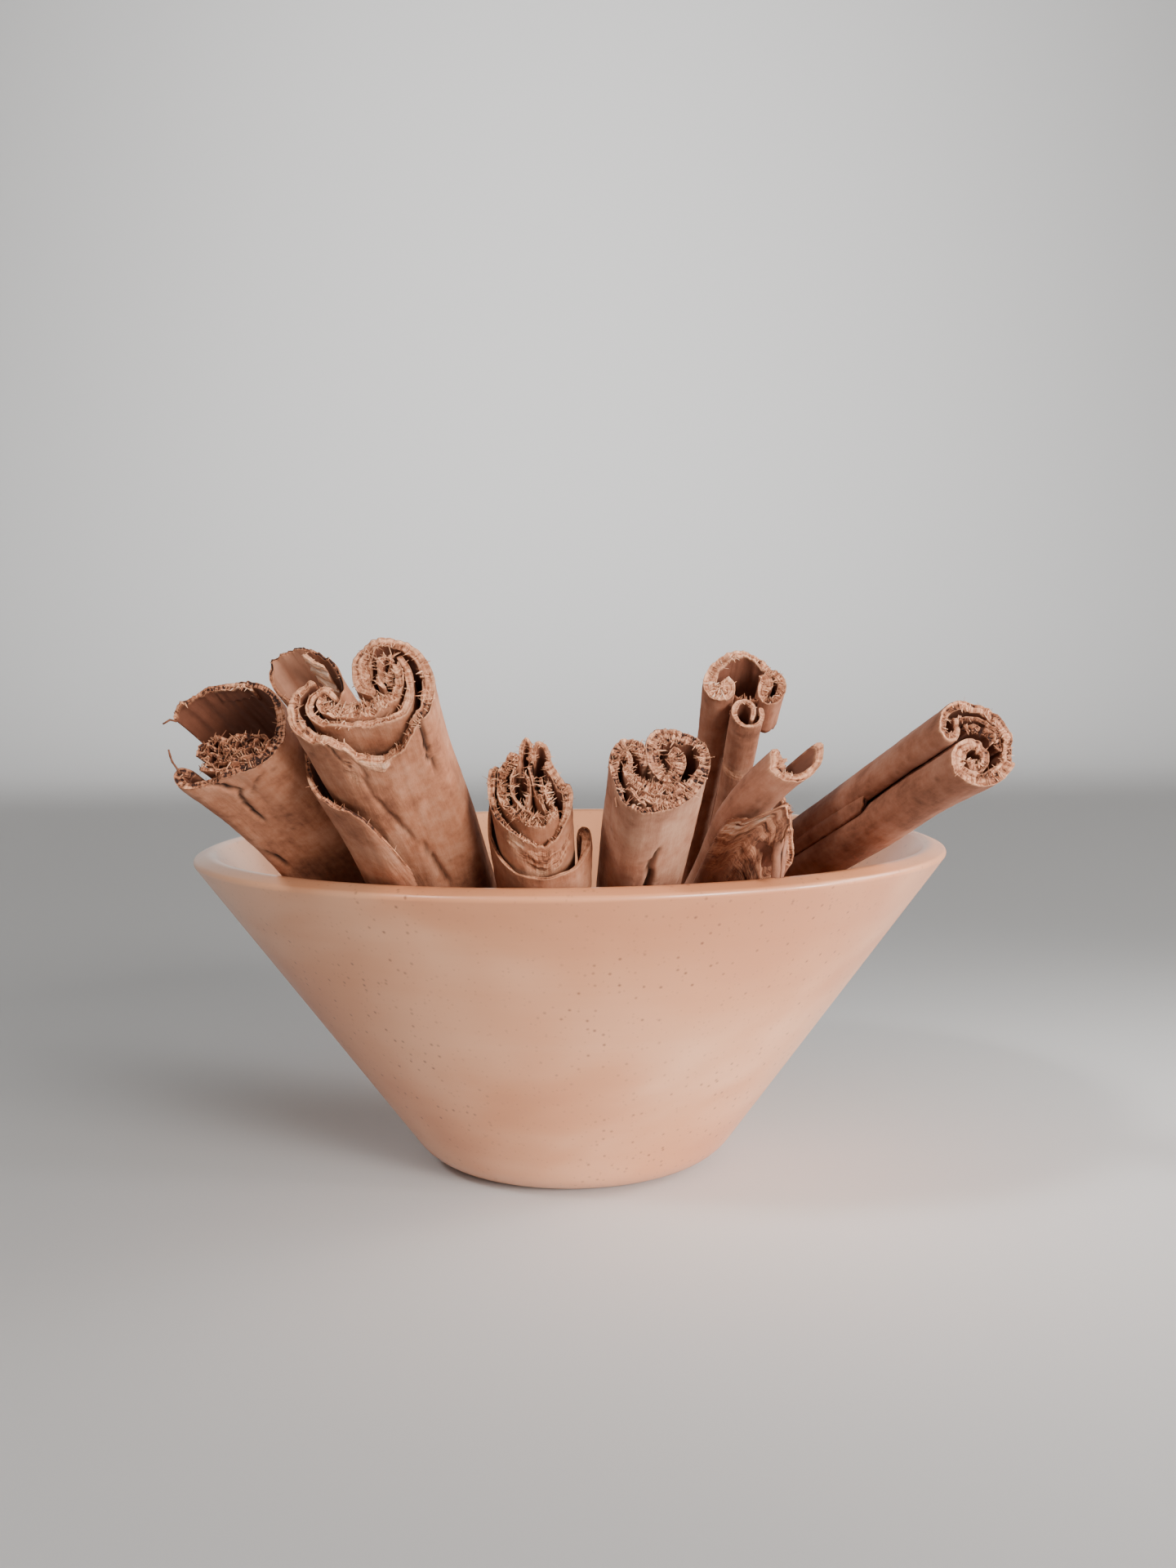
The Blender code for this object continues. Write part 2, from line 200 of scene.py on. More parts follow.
class Nodes:
    """A short way to place and join shader nodes in a tree."""

    def __init__(self, tree: bpy.types.NodeTree) -> None:
        """Takes the tree to fill."""
        self.tree = tree

    def add(self, kind: str, **values: object) -> bpy.types.Node:
        """Places a node.

        Args:
            kind: the node's type after ShaderNode.
            values: settings of the node by name, or values and sources of its inputs. A trailing
                number picks an input by its index, as in in0.

        Returns:
            The node.
        """
        node = self.tree.nodes.new("ShaderNode" + kind)
        for key, value in values.items():
            if hasattr(node, key) and not key.startswith("in"):
                setattr(node, key, value)
                continue
            socket = node.inputs[int(key[2:]) if key[2:].isdigit() else key.replace("_", " ")]
            if isinstance(value, bpy.types.NodeSocket):
                self.tree.links.new(value, socket)
            else:
                socket.default_value = value
        return node

    def group(self, tree: bpy.types.NodeTree, **values: object) -> bpy.types.Node:
        """Places a node group with its own values, and returns its node."""
        node = self.tree.nodes.new("ShaderNodeGroup")
        node.node_tree = tree
        for key, value in values.items():
            if isinstance(value, bpy.types.NodeSocket):
                self.tree.links.new(value, node.inputs[key.replace("_", " ")])
            else:
                node.inputs[key.replace("_", " ")].default_value = value
        return node

    def math(self, operation: str, *values: object) -> bpy.types.NodeSocket:
        """Joins values by one sum of a Math node, and returns its output."""
        named = {f"in{i}": value for i, value in enumerate(values)}
        return self.add("Math", operation=operation, **named).outputs[0]

    def blend(self, factor: object, first: object, second: object) -> bpy.types.NodeSocket:
        """Mixes two colours.

        Args:
            factor: how much of the second.
            first, second: colours or sources of colours.

        Returns:
            The mixed colour's socket.
        """
        node = self.add("Mix", data_type="RGBA", clamp_factor=True)
        for index, value in ((0, factor), (6, first), (7, second)):
            if isinstance(value, bpy.types.NodeSocket):
                self.tree.links.new(value, node.inputs[index])
            else:
                node.inputs[index].default_value = value if index == 0 else (*value, 1.0)
        return node.outputs[2]

    def steps(self, factor: bpy.types.NodeSocket, *stops: tuple[float, Colour]) -> bpy.types.NodeSocket:
        """A colour ramp through stops of (place, colour), and its colour's socket."""
        ramp = self.add("ValToRGB", Fac=factor)
        line = ramp.color_ramp.elements
        while len(line) < len(stops):
            line.new(0.5)
        for element, (place, colour) in zip(line, stops):
            element.position, element.color = place, (*colour, 1.0)
        return ramp.outputs[0]


def effect(name: str, inputs: dict[str, object]) -> tuple[bpy.types.NodeTree, Nodes, dict]:
    """Starts a node group with one value out, called Mask.

    Args:
        name: the group's name.
        inputs: its inputs, as a default number or the word vector.

    Returns:
        The group, its nodes, and the sockets that its inputs bring in, by name.
    """
    tree = bpy.data.node_groups.new(name, "ShaderNodeTree")
    for label, default in inputs.items():
        kind = "NodeSocketVector" if default == "vector" else "NodeSocketFloat"
        socket = tree.interface.new_socket(label, in_out="INPUT", socket_type=kind)
        if default != "vector":
            socket.default_value = default
    tree.interface.new_socket("Mask", in_out="OUTPUT", socket_type="NodeSocketFloat")
    nodes = Nodes(tree)
    entry = tree.nodes.new("NodeGroupInput")
    return tree, nodes, {label: entry.outputs[label] for label in inputs}


def finish_effect(nodes: Nodes, mask: bpy.types.NodeSocket) -> None:
    """Leads a value to the group's output."""
    nodes.tree.links.new(mask, nodes.tree.nodes.new("NodeGroupOutput").inputs["Mask"])


def fibre_effect() -> bpy.types.NodeTree:
    """Streaks that run along the second coordinate of a map in centimetres."""
    tree, nodes, given = effect(
        "fibre_streaks",
        {"Vector": "vector", "Across": 10.0, "Along": 1.0, "Detail": 4.0, "Low": 0.3, "High": 0.7},
    )
    size = nodes.add("CombineXYZ", X=given["Across"], Y=given["Along"], Z=1.0).outputs[0]
    stretched = nodes.add("VectorMath", operation="MULTIPLY", in0=given["Vector"], in1=size).outputs[0]
    noise = nodes.add("TexNoise", Vector=stretched, Scale=1.0, Detail=given["Detail"], Roughness=0.6)
    mask = nodes.add(
        "MapRange", Value=noise.outputs[0], in1=given["Low"], in2=given["High"], in3=0.0, in4=1.0
    ).outputs[0]
    finish_effect(nodes, mask)
    return tree


def speck_effect() -> bpy.types.NodeTree:
    """Small round or drawn-out specks, set apart by chance."""
    tree, nodes, given = effect(
        "scattered_specks", {"Vector": "vector", "Scale": 500.0, "Stretch": 1.0, "Size": 0.2, "Share": 0.5}
    )
    size = nodes.add("CombineXYZ", X=given["Scale"], Y=given["Scale"]).outputs[0]
    drawn = nodes.math("DIVIDE", given["Scale"], given["Stretch"])
    nodes.tree.links.new(drawn, size.node.inputs[2])
    placed = nodes.add("VectorMath", operation="MULTIPLY", in0=given["Vector"], in1=size).outputs[0]
    cells = nodes.add("TexVoronoi", Vector=placed, Scale=1.0, Randomness=1.0)
    near = nodes.add(
        "MapRange", Value=cells.outputs["Distance"], in1=given["Size"], in2=0.0, in3=0.0, in4=1.0
    ).outputs[0]
    chance = nodes.add("SeparateColor", in0=cells.outputs["Color"]).outputs[0]
    kept = nodes.math("LESS_THAN", chance, given["Share"])
    finish_effect(nodes, nodes.math("MULTIPLY", near, kept))
    return tree


@dataclass(frozen=True)
class BarkFinish:
    """Dry cinnamon bark: skin outside, darker inside, pale and fibrous where it is torn."""

    name: str
    skin: Colour = srgb(158, 102, 74)
    shade: Colour = srgb(112, 66, 46)
    bloom: Colour = srgb(182, 130, 102)
    lining: Colour = srgb(124, 74, 54)
    torn_pale: Colour = srgb(232, 174, 136)
    torn_mid: Colour = srgb(162, 102, 72)
    torn_deep: Colour = srgb(44, 18, 10)
    chalk: Colour = srgb(238, 208, 184)

    def material(self, fibres: bpy.types.NodeTree, specks: bpy.types.NodeTree) -> bpy.types.Material:
        """Builds the material.

        Args:
            fibres: the streak effect.
            specks: the speck effect.

        Returns:
            A material that reads the map and the attributes of a bark sheet.
        """
        material = bpy.data.materials.new(self.name)
        material.use_nodes = True
        nodes = Nodes(material.node_tree)
        shader = material.node_tree.nodes["Principled BSDF"]
        place = nodes.add("TexCoord").outputs["Object"]
        plan = nodes.add("UVMap", uv_map="bark").outputs[0]
        marks = {
            mark: nodes.add("Attribute", attribute_name=mark).outputs["Fac"]
            for mark in ("cut", "lining", "gap", "pale", "fray")
        }
        broad = nodes.add("TexNoise", Vector=place, Scale=120.0, Detail=3.0, Roughness=0.55).outputs[0]
        blotch = nodes.add("TexNoise", Vector=place, Scale=560.0, Detail=5.0, Roughness=0.66).outputs[0]

        def streaks(
            across: float, along: float, detail: float, low: float, high: float
        ) -> bpy.types.NodeSocket:
            """The streak effect over the bark map, and its mask's socket."""
            size = {"Across": across, "Along": along, "Detail": detail, "Low": low, "High": high}
            return nodes.group(fibres, Vector=plan, **size).outputs[0]

        grain = streaks(11.0, 1.6, 6.0, 0.3, 0.7)
        dash = streaks(8.0, 34.0, 3.0, 0.62, 0.7)
        scratch = streaks(60.0, 3.0, 2.0, 0.66, 0.74)
        crease = streaks(5.0, 60.0, 3.0, 0.66, 0.76)
        gill = streaks(24.0, 6.0, 3.0, 0.4, 0.58)
        layer = streaks(3.0, 26.0, 3.0, 0.38, 0.6)
        dots = nodes.group(specks, Vector=place, Scale=520.0, Stretch=1.0, Size=0.34, Share=0.1).outputs[0]
        tone = nodes.math("ADD", nodes.math("MULTIPLY", broad, 0.75), nodes.math("MULTIPLY", blotch, 0.5))
        tone = nodes.math("ADD", tone, nodes.math("MULTIPLY", grain, 0.14))
        skin = nodes.steps(tone, (0.45, self.shade), (0.66, self.skin), (0.89, self.bloom))
        skin = nodes.blend(nodes.math("MULTIPLY", dash, 0.22), skin, self.bloom)
        skin = nodes.blend(nodes.math("MULTIPLY", dots, 0.55), skin, darker(self.shade, 0.5))
        skin = nodes.blend(nodes.math("MULTIPLY", scratch, 0.35), skin, self.bloom)
        # Painted shade: the skin darkens along the creases that the bump dents.
        skin = nodes.blend(nodes.math("MULTIPLY", crease, 0.3), skin, self.shade)
        lined = nodes.blend(blotch, darker(self.lining, 0.55), self.lining)
        lined = nodes.blend(nodes.math("MULTIPLY", grain, 0.35), lined, darker(self.lining, 0.5))
        colour = nodes.blend(marks["lining"], skin, lined)
        combed = nodes.math("MULTIPLY", marks["fray"], 0.6)
        gill = nodes.math("MULTIPLY", nodes.math("SUBTRACT", gill, 0.5), combed)
        weave = nodes.math("ADD", nodes.math("ADD", gill, 0.25), nodes.math("MULTIPLY", layer, 0.4))
        weave = nodes.math("ADD", weave, marks["pale"])
        torn = nodes.steps(
            nodes.math("MULTIPLY", weave, 0.7),
            (0.03, self.torn_deep), (0.22, self.torn_mid), (0.66, self.torn_pale), (0.9, self.chalk),
        )
        colour = nodes.blend(marks["cut"], colour, torn)
        # Painted shade: splits and the sunk parts of a torn end are darkened nearly to black.
        colour = nodes.blend(marks["gap"], colour, darker(self.shade, 0.12))
        material.node_tree.links.new(colour, shader.inputs["Base Color"])
        height = nodes.math("ADD", nodes.math("MULTIPLY", grain, 0.35), nodes.math("MULTIPLY", blotch, 0.8))
        height = nodes.math("SUBTRACT", height, nodes.math("MULTIPLY", crease, 0.4))
        woven = nodes.math("MULTIPLY", nodes.math("MULTIPLY", weave, 1.4), marks["cut"])
        height = nodes.math("ADD", height, woven)
        bump = nodes.add("Bump", Strength=0.6, Distance=0.0002, Height=height)
        material.node_tree.links.new(bump.outputs[0], shader.inputs["Normal"])
        rough = nodes.add("MapRange", Value=broad, in1=0.3, in2=0.7, in3=0.82, in4=0.64).outputs[0]
        material.node_tree.links.new(rough, shader.inputs["Roughness"])
        shader.inputs["Specular IOR Level"].default_value = 0.28
        return material


@dataclass(frozen=True)
class WoodFinish:
    """Pale polished wood with faint broad bands, fine growth lines and short dark pores."""

    name: str = "polished_pale_wood"
    base: Colour = srgb(212, 145, 104)
    warm: Colour = srgb(198, 128, 88)
    light: Colour = srgb(226, 166, 128)
    pore: Colour = srgb(98, 54, 36)

    def material(self, fibres: bpy.types.NodeTree, specks: bpy.types.NodeTree) -> bpy.types.Material:
        """Builds the material.

        Args:
            fibres: the streak effect, which is not used.
            specks: the speck effect.

        Returns:
            A material on object coordinates.
        """
        material = bpy.data.materials.new(self.name)
        material.use_nodes = True
        nodes = Nodes(material.node_tree)
        shader = material.node_tree.nodes["Principled BSDF"]
        place = nodes.add("TexCoord").outputs["Object"]
        turned = nodes.add("Mapping", Vector=place, Rotation=(0.12, 0.2, 0.5), Scale=(1.0, 1.0, 1.5))
        band = nodes.add(
            "TexNoise", Vector=turned.outputs[0], Scale=22.0, Detail=3.0, Roughness=0.5, Distortion=0.5
        ).outputs[0]
        layers = nodes.add("Mapping", Vector=place, Rotation=(0.05, -0.06, 0.0), Scale=(4.0, 4.0, 85.0))
        growth = nodes.add("TexNoise", Vector=layers.outputs[0], Scale=1.0, Detail=6.0, Roughness=0.62)
        line = growth.outputs[0]
        tone = nodes.math("ADD", nodes.math("MULTIPLY", band, 0.82), nodes.math("MULTIPLY", line, 0.18))
        colour = nodes.steps(tone, (0.36, self.warm), (0.5, self.base), (0.64, self.light))
        pores = nodes.group(specks, Vector=place, Scale=900.0, Stretch=1.2, Size=0.3, Share=0.3)
        tiny = nodes.group(specks, Vector=place, Scale=1500.0, Stretch=1.3, Size=0.33, Share=0.22)
        patch = nodes.add("TexNoise", Vector=place, Scale=48.0, Detail=2.0).outputs[0]
        shown = nodes.add("MapRange", Value=patch, in1=0.42, in2=0.58, in3=0.1, in4=0.9).outputs[0]
        dark = nodes.math("MULTIPLY", pores.outputs[0], shown)
        dark = nodes.math("MAXIMUM", dark, nodes.math("MULTIPLY", tiny.outputs[0], 0.3))
        colour = nodes.blend(dark, colour, self.pore)
        material.node_tree.links.new(colour, shader.inputs["Base Color"])
        height = nodes.math("SUBTRACT", nodes.math("MULTIPLY", line, 0.4), dark)
        bump = nodes.add("Bump", Strength=0.3, Distance=0.0001, Height=height)
        material.node_tree.links.new(bump.outputs[0], shader.inputs["Normal"])
        rough = nodes.add("MapRange", Value=band, in1=0.35, in2=0.65, in3=0.46, in4=0.36).outputs[0]
        material.node_tree.links.new(rough, shader.inputs["Roughness"])
        shader.inputs["Specular IOR Level"].default_value = 0.5
        shader.inputs["Coat Weight"].default_value = 0.5
        shader.inputs["Coat Roughness"].default_value = 0.2
        return material


@dataclass(frozen=True)
class PlainFinish:
    """One matte colour, for the floor."""

    name: str
    colour: Colour
    roughness: float = 0.9

    def material(self) -> bpy.types.Material:
        """Builds the material."""
        material = bpy.data.materials.new(self.name)
        material.use_nodes = True
        shader = material.node_tree.nodes["Principled BSDF"]
        shader.inputs["Base Color"].default_value = (*self.colour, 1.0)
        shader.inputs["Roughness"].default_value = self.roughness
        shader.inputs["Specular IOR Level"].default_value = 0.2
        return material


@dataclass(frozen=True)
class Crack:
    """A split in a sheet's skin, sunk and darkened with painted shade, from one place to another as (along
    its path, down from its end).
    """

    start: tuple[float, float]
    stop: tuple[float, float]
    width: float = 0.3
    depth: float = 0.6
    # dark: how strongly painted shade darkens the split.
    dark: float = 1.0

    def near(self, far: np.ndarray, down: float, noise: Noise) -> np.ndarray:
        """How near to the crack's middle each column lies.

        Args:
            far: distance of each column along the path.
            down: distance down from the end.
            noise: the sheet's noise.

        Returns:
            From 0 away from it to 1 in its middle.
        """
        a, b = np.array(self.start), np.array(self.stop)
        spot = np.column_stack([far, np.full_like(far, down)])
        way = np.clip(((spot - a) @ (b - a)) / ((b - a) @ (b - a)), 0.0, 1.0)
        miss = spot - a - way[:, None] * (b - a)
        miss[:, 0] += 0.35 * noise.at(down / 1.1, self.start[0])
        pinch = np.sin(np.clip(way * 2.6 + 0.35, 0, np.pi)) ** 0.5
        return np.exp(-((np.hypot(*miss.T) / self.width) ** 2)) * pinch


@dataclass(frozen=True)
class Scar:
    """A patch without skin: its middle and half size as (along its path, down from its end)."""

    middle: tuple[float, float]
    half: tuple[float, float]
    depth: float = 0.35
    pale: float = 0.0

    def bare(self, far: np.ndarray, down: float, noise: Noise) -> np.ndarray:
        """How bare each column is.

        Args:
            far: distance of each column along the path.
            down: distance down from the end.
            noise: the sheet's noise.

        Returns:
            From 0 outside the patch to 1 in it.
        """
        reach = 1 - ((far - self.middle[0]) / self.half[0]) ** 2
        reach = reach - ((down - self.middle[1]) / self.half[1]) ** 2
        return np.clip((reach + 0.5 * noise.rough(far / 1.6, down / 1.9, 3)) * 3.0, 0.0, 1.0)


@dataclass
class Sheet:
    """One rolled sheet of bark, in millimetres.

    Its path holds (across, up, height above the end plane, extra thickness inwards), where a number
    left out is zero. Drop lowers the whole end, and depth is how far down the quill the sheet goes.
    Relief is the height of its torn face, fray how strongly that is combed across the bark, pallor
    how light it is, and column the width of one step along the path. Hairs are loose fibres by
    their bends in space.
    """

    name: str
    node: str | None
    path: list[tuple[float, ...]]
    thickness: float = 1.1
    ragged: float = 0.35
    relief: float = 0.3
    drop: float = 0.0
    shards: int = 60
    shard_length: float = 1.0
    depth: float = 200.0
    pallor: float = 0.0
    fray: float = 0.6
    column: float = 0.27
    hairs: tuple[tuple[Place, ...], ...] = ()
    cracks: tuple[Crack, ...] = ()
    scars: tuple[Scar, ...] = ()

    def curve(self) -> np.ndarray:
        """The path as even steps along a smooth curve, one row of its four numbers a step."""
        p = np.array([tuple(q) + (0.0,) * (4 - len(q)) for q in self.path], float)
        p = np.vstack([2 * p[0] - p[1], p, 2 * p[-1] - p[-2]])
        t = np.linspace(0.0, 1.0, 24, endpoint=False)[:, None]
        fine = [
            0.5 * (2 * b + (c - a) * t + (2 * a - 5 * b + 4 * c - d) * t**2 + (3 * b - a - 3 * c + d) * t**3)
            for a, b, c, d in zip(p, p[1:], p[2:], p[3:])
        ]
        fine = np.vstack([*fine, p[-2:-1]])
        far = np.r_[0.0, np.cumsum(np.hypot(*np.diff(fine[:, :2], axis=0).T))]
        even = np.linspace(0.0, far[-1], max(12, round(far[-1] / self.column)))
        return np.column_stack([np.interp(even, far, fine[:, k]) for k in range(4)] + [even])


class Row(NamedTuple):
    """One row of a sheet's grid, with one value a column: where it lies, how worn it is, and how much painted
    shade it gets in splits and pits.
    """

    offset: np.ndarray
    along: np.ndarray
    cut: np.ndarray
    lining: np.ndarray
    gap: np.ndarray
    pale: np.ndarray
    drawn: np.ndarray


class Section:
    """A sheet's rolled section and its torn edges, worked out column by column in millimetres."""

    def __init__(self, sheet: Sheet, length: float, slope: float, rows: np.ndarray, seed: int) -> None:
        """Works out the section.

        Args:
            sheet: the sheet.
            length: length of its quill.
            slope: rise of the quill's end for each millimetre up the section.
            rows: distances down from the end, to the quill's other end.
            seed: which noise.
        """
        self.sheet, self.length, self.noise = sheet, length, Noise(seed)
        line = sheet.curve()
        self.line, self.far = line, line[:, 4]
        far, noise = self.far, self.noise
        ahead = np.gradient(line[:, :2], axis=0)
        ahead /= np.linalg.norm(ahead, axis=1)[:, None]
        turn = np.unwrap(np.arctan2(ahead[:, 1], ahead[:, 0]))
        inward = 1.0 if turn[-1] > turn[0] else -1.0
        self.side = np.column_stack([-ahead[:, 1], ahead[:, 0]]) * inward
        lip = np.minimum(far, far[-1] - far) / (0.5 * sheet.thickness)
        self.lip = np.sqrt(1 - np.clip(1 - lip, 0.0, 1.0) ** 2)
        self.outer = -0.5 * sheet.thickness * np.ones_like(far)
        self.inner = 0.5 * sheet.thickness + line[:, 3]
        self.inner = self.inner + 0.16 * noise.at(far / 1.3, 5.1)
        short = sheet.depth < length
        self.down = np.r_[rows[rows < sheet.depth - 0.2], sheet.depth] if short else rows
        tear = sheet.ragged * noise.rough(far / 1.5, 2.5, 4)
        tear = tear + 0.35 * sheet.ragged * noise.at(far / 0.35, 7.5)
        self.top = line[:, 2] + sheet.drop + slope * line[:, 1] + tear
        self.foot = 0.5 * noise.rough(far / 2.0, 9.5, 3)
        self.hem = 0.9 * noise.rough(far / 1.6, 4.5, 3) if short else 0.0

    def relief(self, offset: np.ndarray) -> np.ndarray:
        """Height of the torn face: combed shreds across the bark, its layers, and a proud skin.

        Args:
            offset: distance inwards from the path.

        Returns:
            One height a column.
        """
        far, noise, fray = self.far, self.noise, self.sheet.fray
        shred = noise.at(far / (SHRED_COLUMNS * self.sheet.column), offset / 1.3 + 40)
        shred = shred + 0.4 * noise.at(far / 0.62, offset / 0.5 + 11)
        layer = noise.at(far / 3.0, offset / 0.34 + 77)
        skin = np.exp(-np.abs(offset - self.outer) / 0.1) * 0.7
        return self.sheet.relief * (0.8 * fray * shred + (1.05 - 0.5 * fray) * layer + skin - 0.15)

    def level(self, down: float) -> np.ndarray:
        """Distance up the quill at a distance down from its end, between both torn edges."""
        part = 1 - down / self.length
        return part * (self.length + self.top) + (1 - part) * self.foot

    def face(self, down: float, lining: bool) -> Row:
        """One row of the skin or of the lining.

        Args:
            down: distance down from the end.
            lining: whether it lies on the inner face.

        Returns:
            The row.
        """
        far, noise, sheet = self.far, self.noise, self.sheet
        fade = math.exp(-down / TORN_REACH)
        gap, cut = np.zeros_like(far), np.full_like(far, 0.85 * math.exp(-((down / EDGE_REACH) ** 2)))
        pale = np.full_like(far, 0.2 + sheet.pallor)
        edge = self.inner if lining else self.outer
        if lining:
            rough = 0.18 * noise.at(far / 0.9, down / 14.0) + 0.08 * noise.at(far / 0.4, down / 5.0)
            offset = edge + rough * (1 - fade)
        else:
            swell = 0.26 * noise.at(far / 4.2 + 3, down / 13.0)
            swell = swell + 0.07 * noise.at(far / 1.2, down / 10.0 + 50)
            offset = edge + (swell + 0.035 * noise.at(far / 2.2, down / 0.9)) * (1 - fade)
            for crack in sheet.cracks:
                near = crack.near(far, down, noise)
                offset = offset + crack.depth * near
                # Each split gets painted shade, as strong as its dark value.
                gap = np.maximum(gap, crack.dark * np.clip(near * 1.3 - 0.15, 0, 1))
            for scar in sheet.scars:
                bare = scar.bare(far, down, noise)
                offset = offset + bare * (scar.depth + 0.24 * noise.rough(far / 2.6, down / 0.62, 3))
                cut = np.maximum(cut, (0.62 + 0.33 * max(scar.pale, 0.0)) * bare)
                pale = pale + bare * (scar.pale + 0.22 * noise.rough(far / 2.4, down / 0.7, 2) - 0.1)
        along = self.level(down) + self.relief(edge * self.lip) * fade
        along = along + self.hem * (down / self.down[-1]) ** 2
        lined = np.full_like(far, float(lining))
        return Row(offset * self.lip, along, cut, lined, gap, pale, np.full_like(far, down))

    def cap(self, part: float, at_top: bool) -> Row:
        """One row across a torn end.

        Args:
            part: how far it lies from the skin to the lining, from 0 to 1.
            at_top: whether it is the upper end.

        Returns:
            The row.
        """
        sheet = self.sheet
        offset = (self.outer * (1 - part) + self.inner * part) * self.lip
        height = self.relief(offset)
        if at_top:
            along = self.level(0.0) + height
        else:
            along = self.level(self.down[-1]) + (self.hem - 0.5 * height)
        # Painted shade in the sunk parts of the torn face and painted light on its raised shreds: lower
        # points darker, higher ones paler.
        pit_shade = np.clip(-height / sheet.relief * 0.75 - 0.2, 0, 0.95) * min(1.0, 0.3 + sheet.fray)
        pale = np.clip(0.3 * height / sheet.relief, -0.25, 0.4) + sheet.pallor
        return Row(offset, along, np.ones_like(offset), np.zeros_like(offset), pit_shade, pale, offset)

    def rows(self) -> list[Row]:
        """All rows in order: up the skin, over the end, down the lining and under the foot."""
        skin = [self.face(down, lining=False) for down in self.down]
        top = [self.cap(k / CAP_ROWS, at_top=True) for k in range(1, CAP_ROWS)]
        lining = [self.face(down, lining=True) for down in self.down]
        foot = [self.cap(1 - k / FOOT_ROWS, at_top=False) for k in range(1, FOOT_ROWS)]
        return skin[::-1] + top + lining + foot + skin[-1:]


@dataclass
class Quill:
    """A rolled stick from its bottom point to its top point, with a sloping torn end.

    Its top and bottom are in millimetres. Slope is the end's rise for each millimetre up the section,
    taper the section's size at the bottom as a share of its size at the top, and lean how far from
    the end the quill starts to bend, and by how much across and up.
    """

    name: str
    top: Place
    bottom: Place
    slope: float
    taper: float
    finish: BarkFinish
    sheets: list[Sheet]
    lean: Place = (1.0, 0.0, 0.0)
    seed: int = 1

    def __post_init__(self) -> None:
        """Works out the axes."""
        start, end = Vector(self.bottom), Vector(self.top)
        self.length = (end - start).length
        self.axis = (end - start).normalized()
        across = Vector((1.0, 0.0, 0.0))
        self.across = (across - across.dot(self.axis) * self.axis).normalized()
        self.up = self.axis.cross(self.across)
        self.noise = Noise(self.seed)

    def place(self, x: np.ndarray, y: np.ndarray, along: np.ndarray) -> np.ndarray:
        """Points in space from places in the quill.

        Args:
            x, y: place in the section at the end, in millimetres.
            along: distance up the axis from the bottom point.

        Returns:
            Points in metres.
        """
        rest = np.clip(1.0 - along / self.length, 0.0, 1.0)
        scale = 1 - (1 - self.taper) * rest**FLARE
        reach, lean_x, lean_y = self.lean
        leaned = np.clip(1 - (self.length - along) / reach, 0.0, None) ** 2
        sway = SWAY * self.noise.at(along / 17.0, 3.3), SWAY * self.noise.at(along / 15.0, 8.7)
        fade = np.clip((self.length - along) / STRAIGHT_END, 0.0, 1.0)
        x = x * scale + lean_x * leaned + sway[0] * fade
        y = y * scale + lean_y * leaned + sway[1] * fade
        spots = np.array(self.bottom) + sum(
            np.asarray(value)[..., None] * np.array(direction)
            for value, direction in ((along, self.axis), (x, self.across), (y, self.up))
        )
        return spots * MM

    def rows(self) -> np.ndarray:
        """Distances down from the end, close together at both ends of the quill."""
        down = [0.0]
        while down[-1] < self.length - 6.0:
            down.append(down[-1] + min(3.0, 0.18 + 0.065 * down[-1]))
        last = [self.length - left for left in (4.6, 3.4, 2.4, 1.6, 1.0, 0.6, 0.3, 0.0)]
        return np.array(down + [spot for spot in last if spot > down[-1] + 0.2])

    def build(self, sheet: Sheet, material: bpy.types.Material) -> bpy.types.Object:
        """Rolls one sheet: a grid folded over both torn ends, with its seams merged.

        Args:
            sheet: the sheet to roll.
            material: its finish.

        Returns:
            The sheet's object.
        """
        section = Section(sheet, self.length, self.slope, self.rows(), self.seed * 31 + len(sheet.name))
        offset, along, cut, lining, gap, pale, drawn = (np.array(rows) for rows in zip(*section.rows()))
        x, y = (section.line[:, k] + section.side[:, k] * offset for k in (0, 1))
        marks = {"cut": cut, "lining": lining, "gap": gap, "pale": pale}
        marks["fray"] = np.full_like(cut, sheet.fray)
        plan = np.stack([np.broadcast_to(section.far, drawn.shape), drawn], axis=-1) * MAP_SCALE
        mesh = fold(sheet.name, self.place(x, y, along), plan, marks)
        self.splinter(mesh, section)
        return finished(mesh, sheet.name, material)

    def splinter(self, mesh: bmesh.types.BMesh, section: Section) -> None:
        """Sets torn fibres and loose hairs on the end of a sheet.

        Args:
            mesh: the sheet's closed bmesh, which gets the fibres.
            section: the sheet's section.
        """
        sheet = section.sheet
        dice = np.random.default_rng(self.seed * 77 + len(sheet.name) * 5)
        fibres = bmesh.new()
        cut, pale = (fibres.verts.layers.float.new(mark) for mark in ("cut", "pale"))
        thick = np.clip((section.inner - section.outer)[1:-1] - 0.4, 0.05, None)
        columns = np.arange(1, len(section.line) - 1)
        for column in dice.choice(columns, sheet.shards, p=thick / thick.sum()):
            verts = self.shard(fibres, section, column, dice)
            shade = dice.uniform(-0.15, 0.6) + sheet.pallor
            for vert in verts:
                vert[cut], vert[pale] = 1.0, shade
        for hair in sheet.hairs:
            for start, end in zip(hair, hair[1:]):
                for vert in self.strand(fibres, Vector(start) * MM, Vector(end) * MM):
                    vert[cut], vert[pale] = 1.0, sheet.pallor
        loose = bpy.data.meshes.new(sheet.name + "_fibres")
        fibres.to_mesh(loose)
        fibres.free()
        mesh.from_mesh(loose)
        bpy.data.meshes.remove(loose)

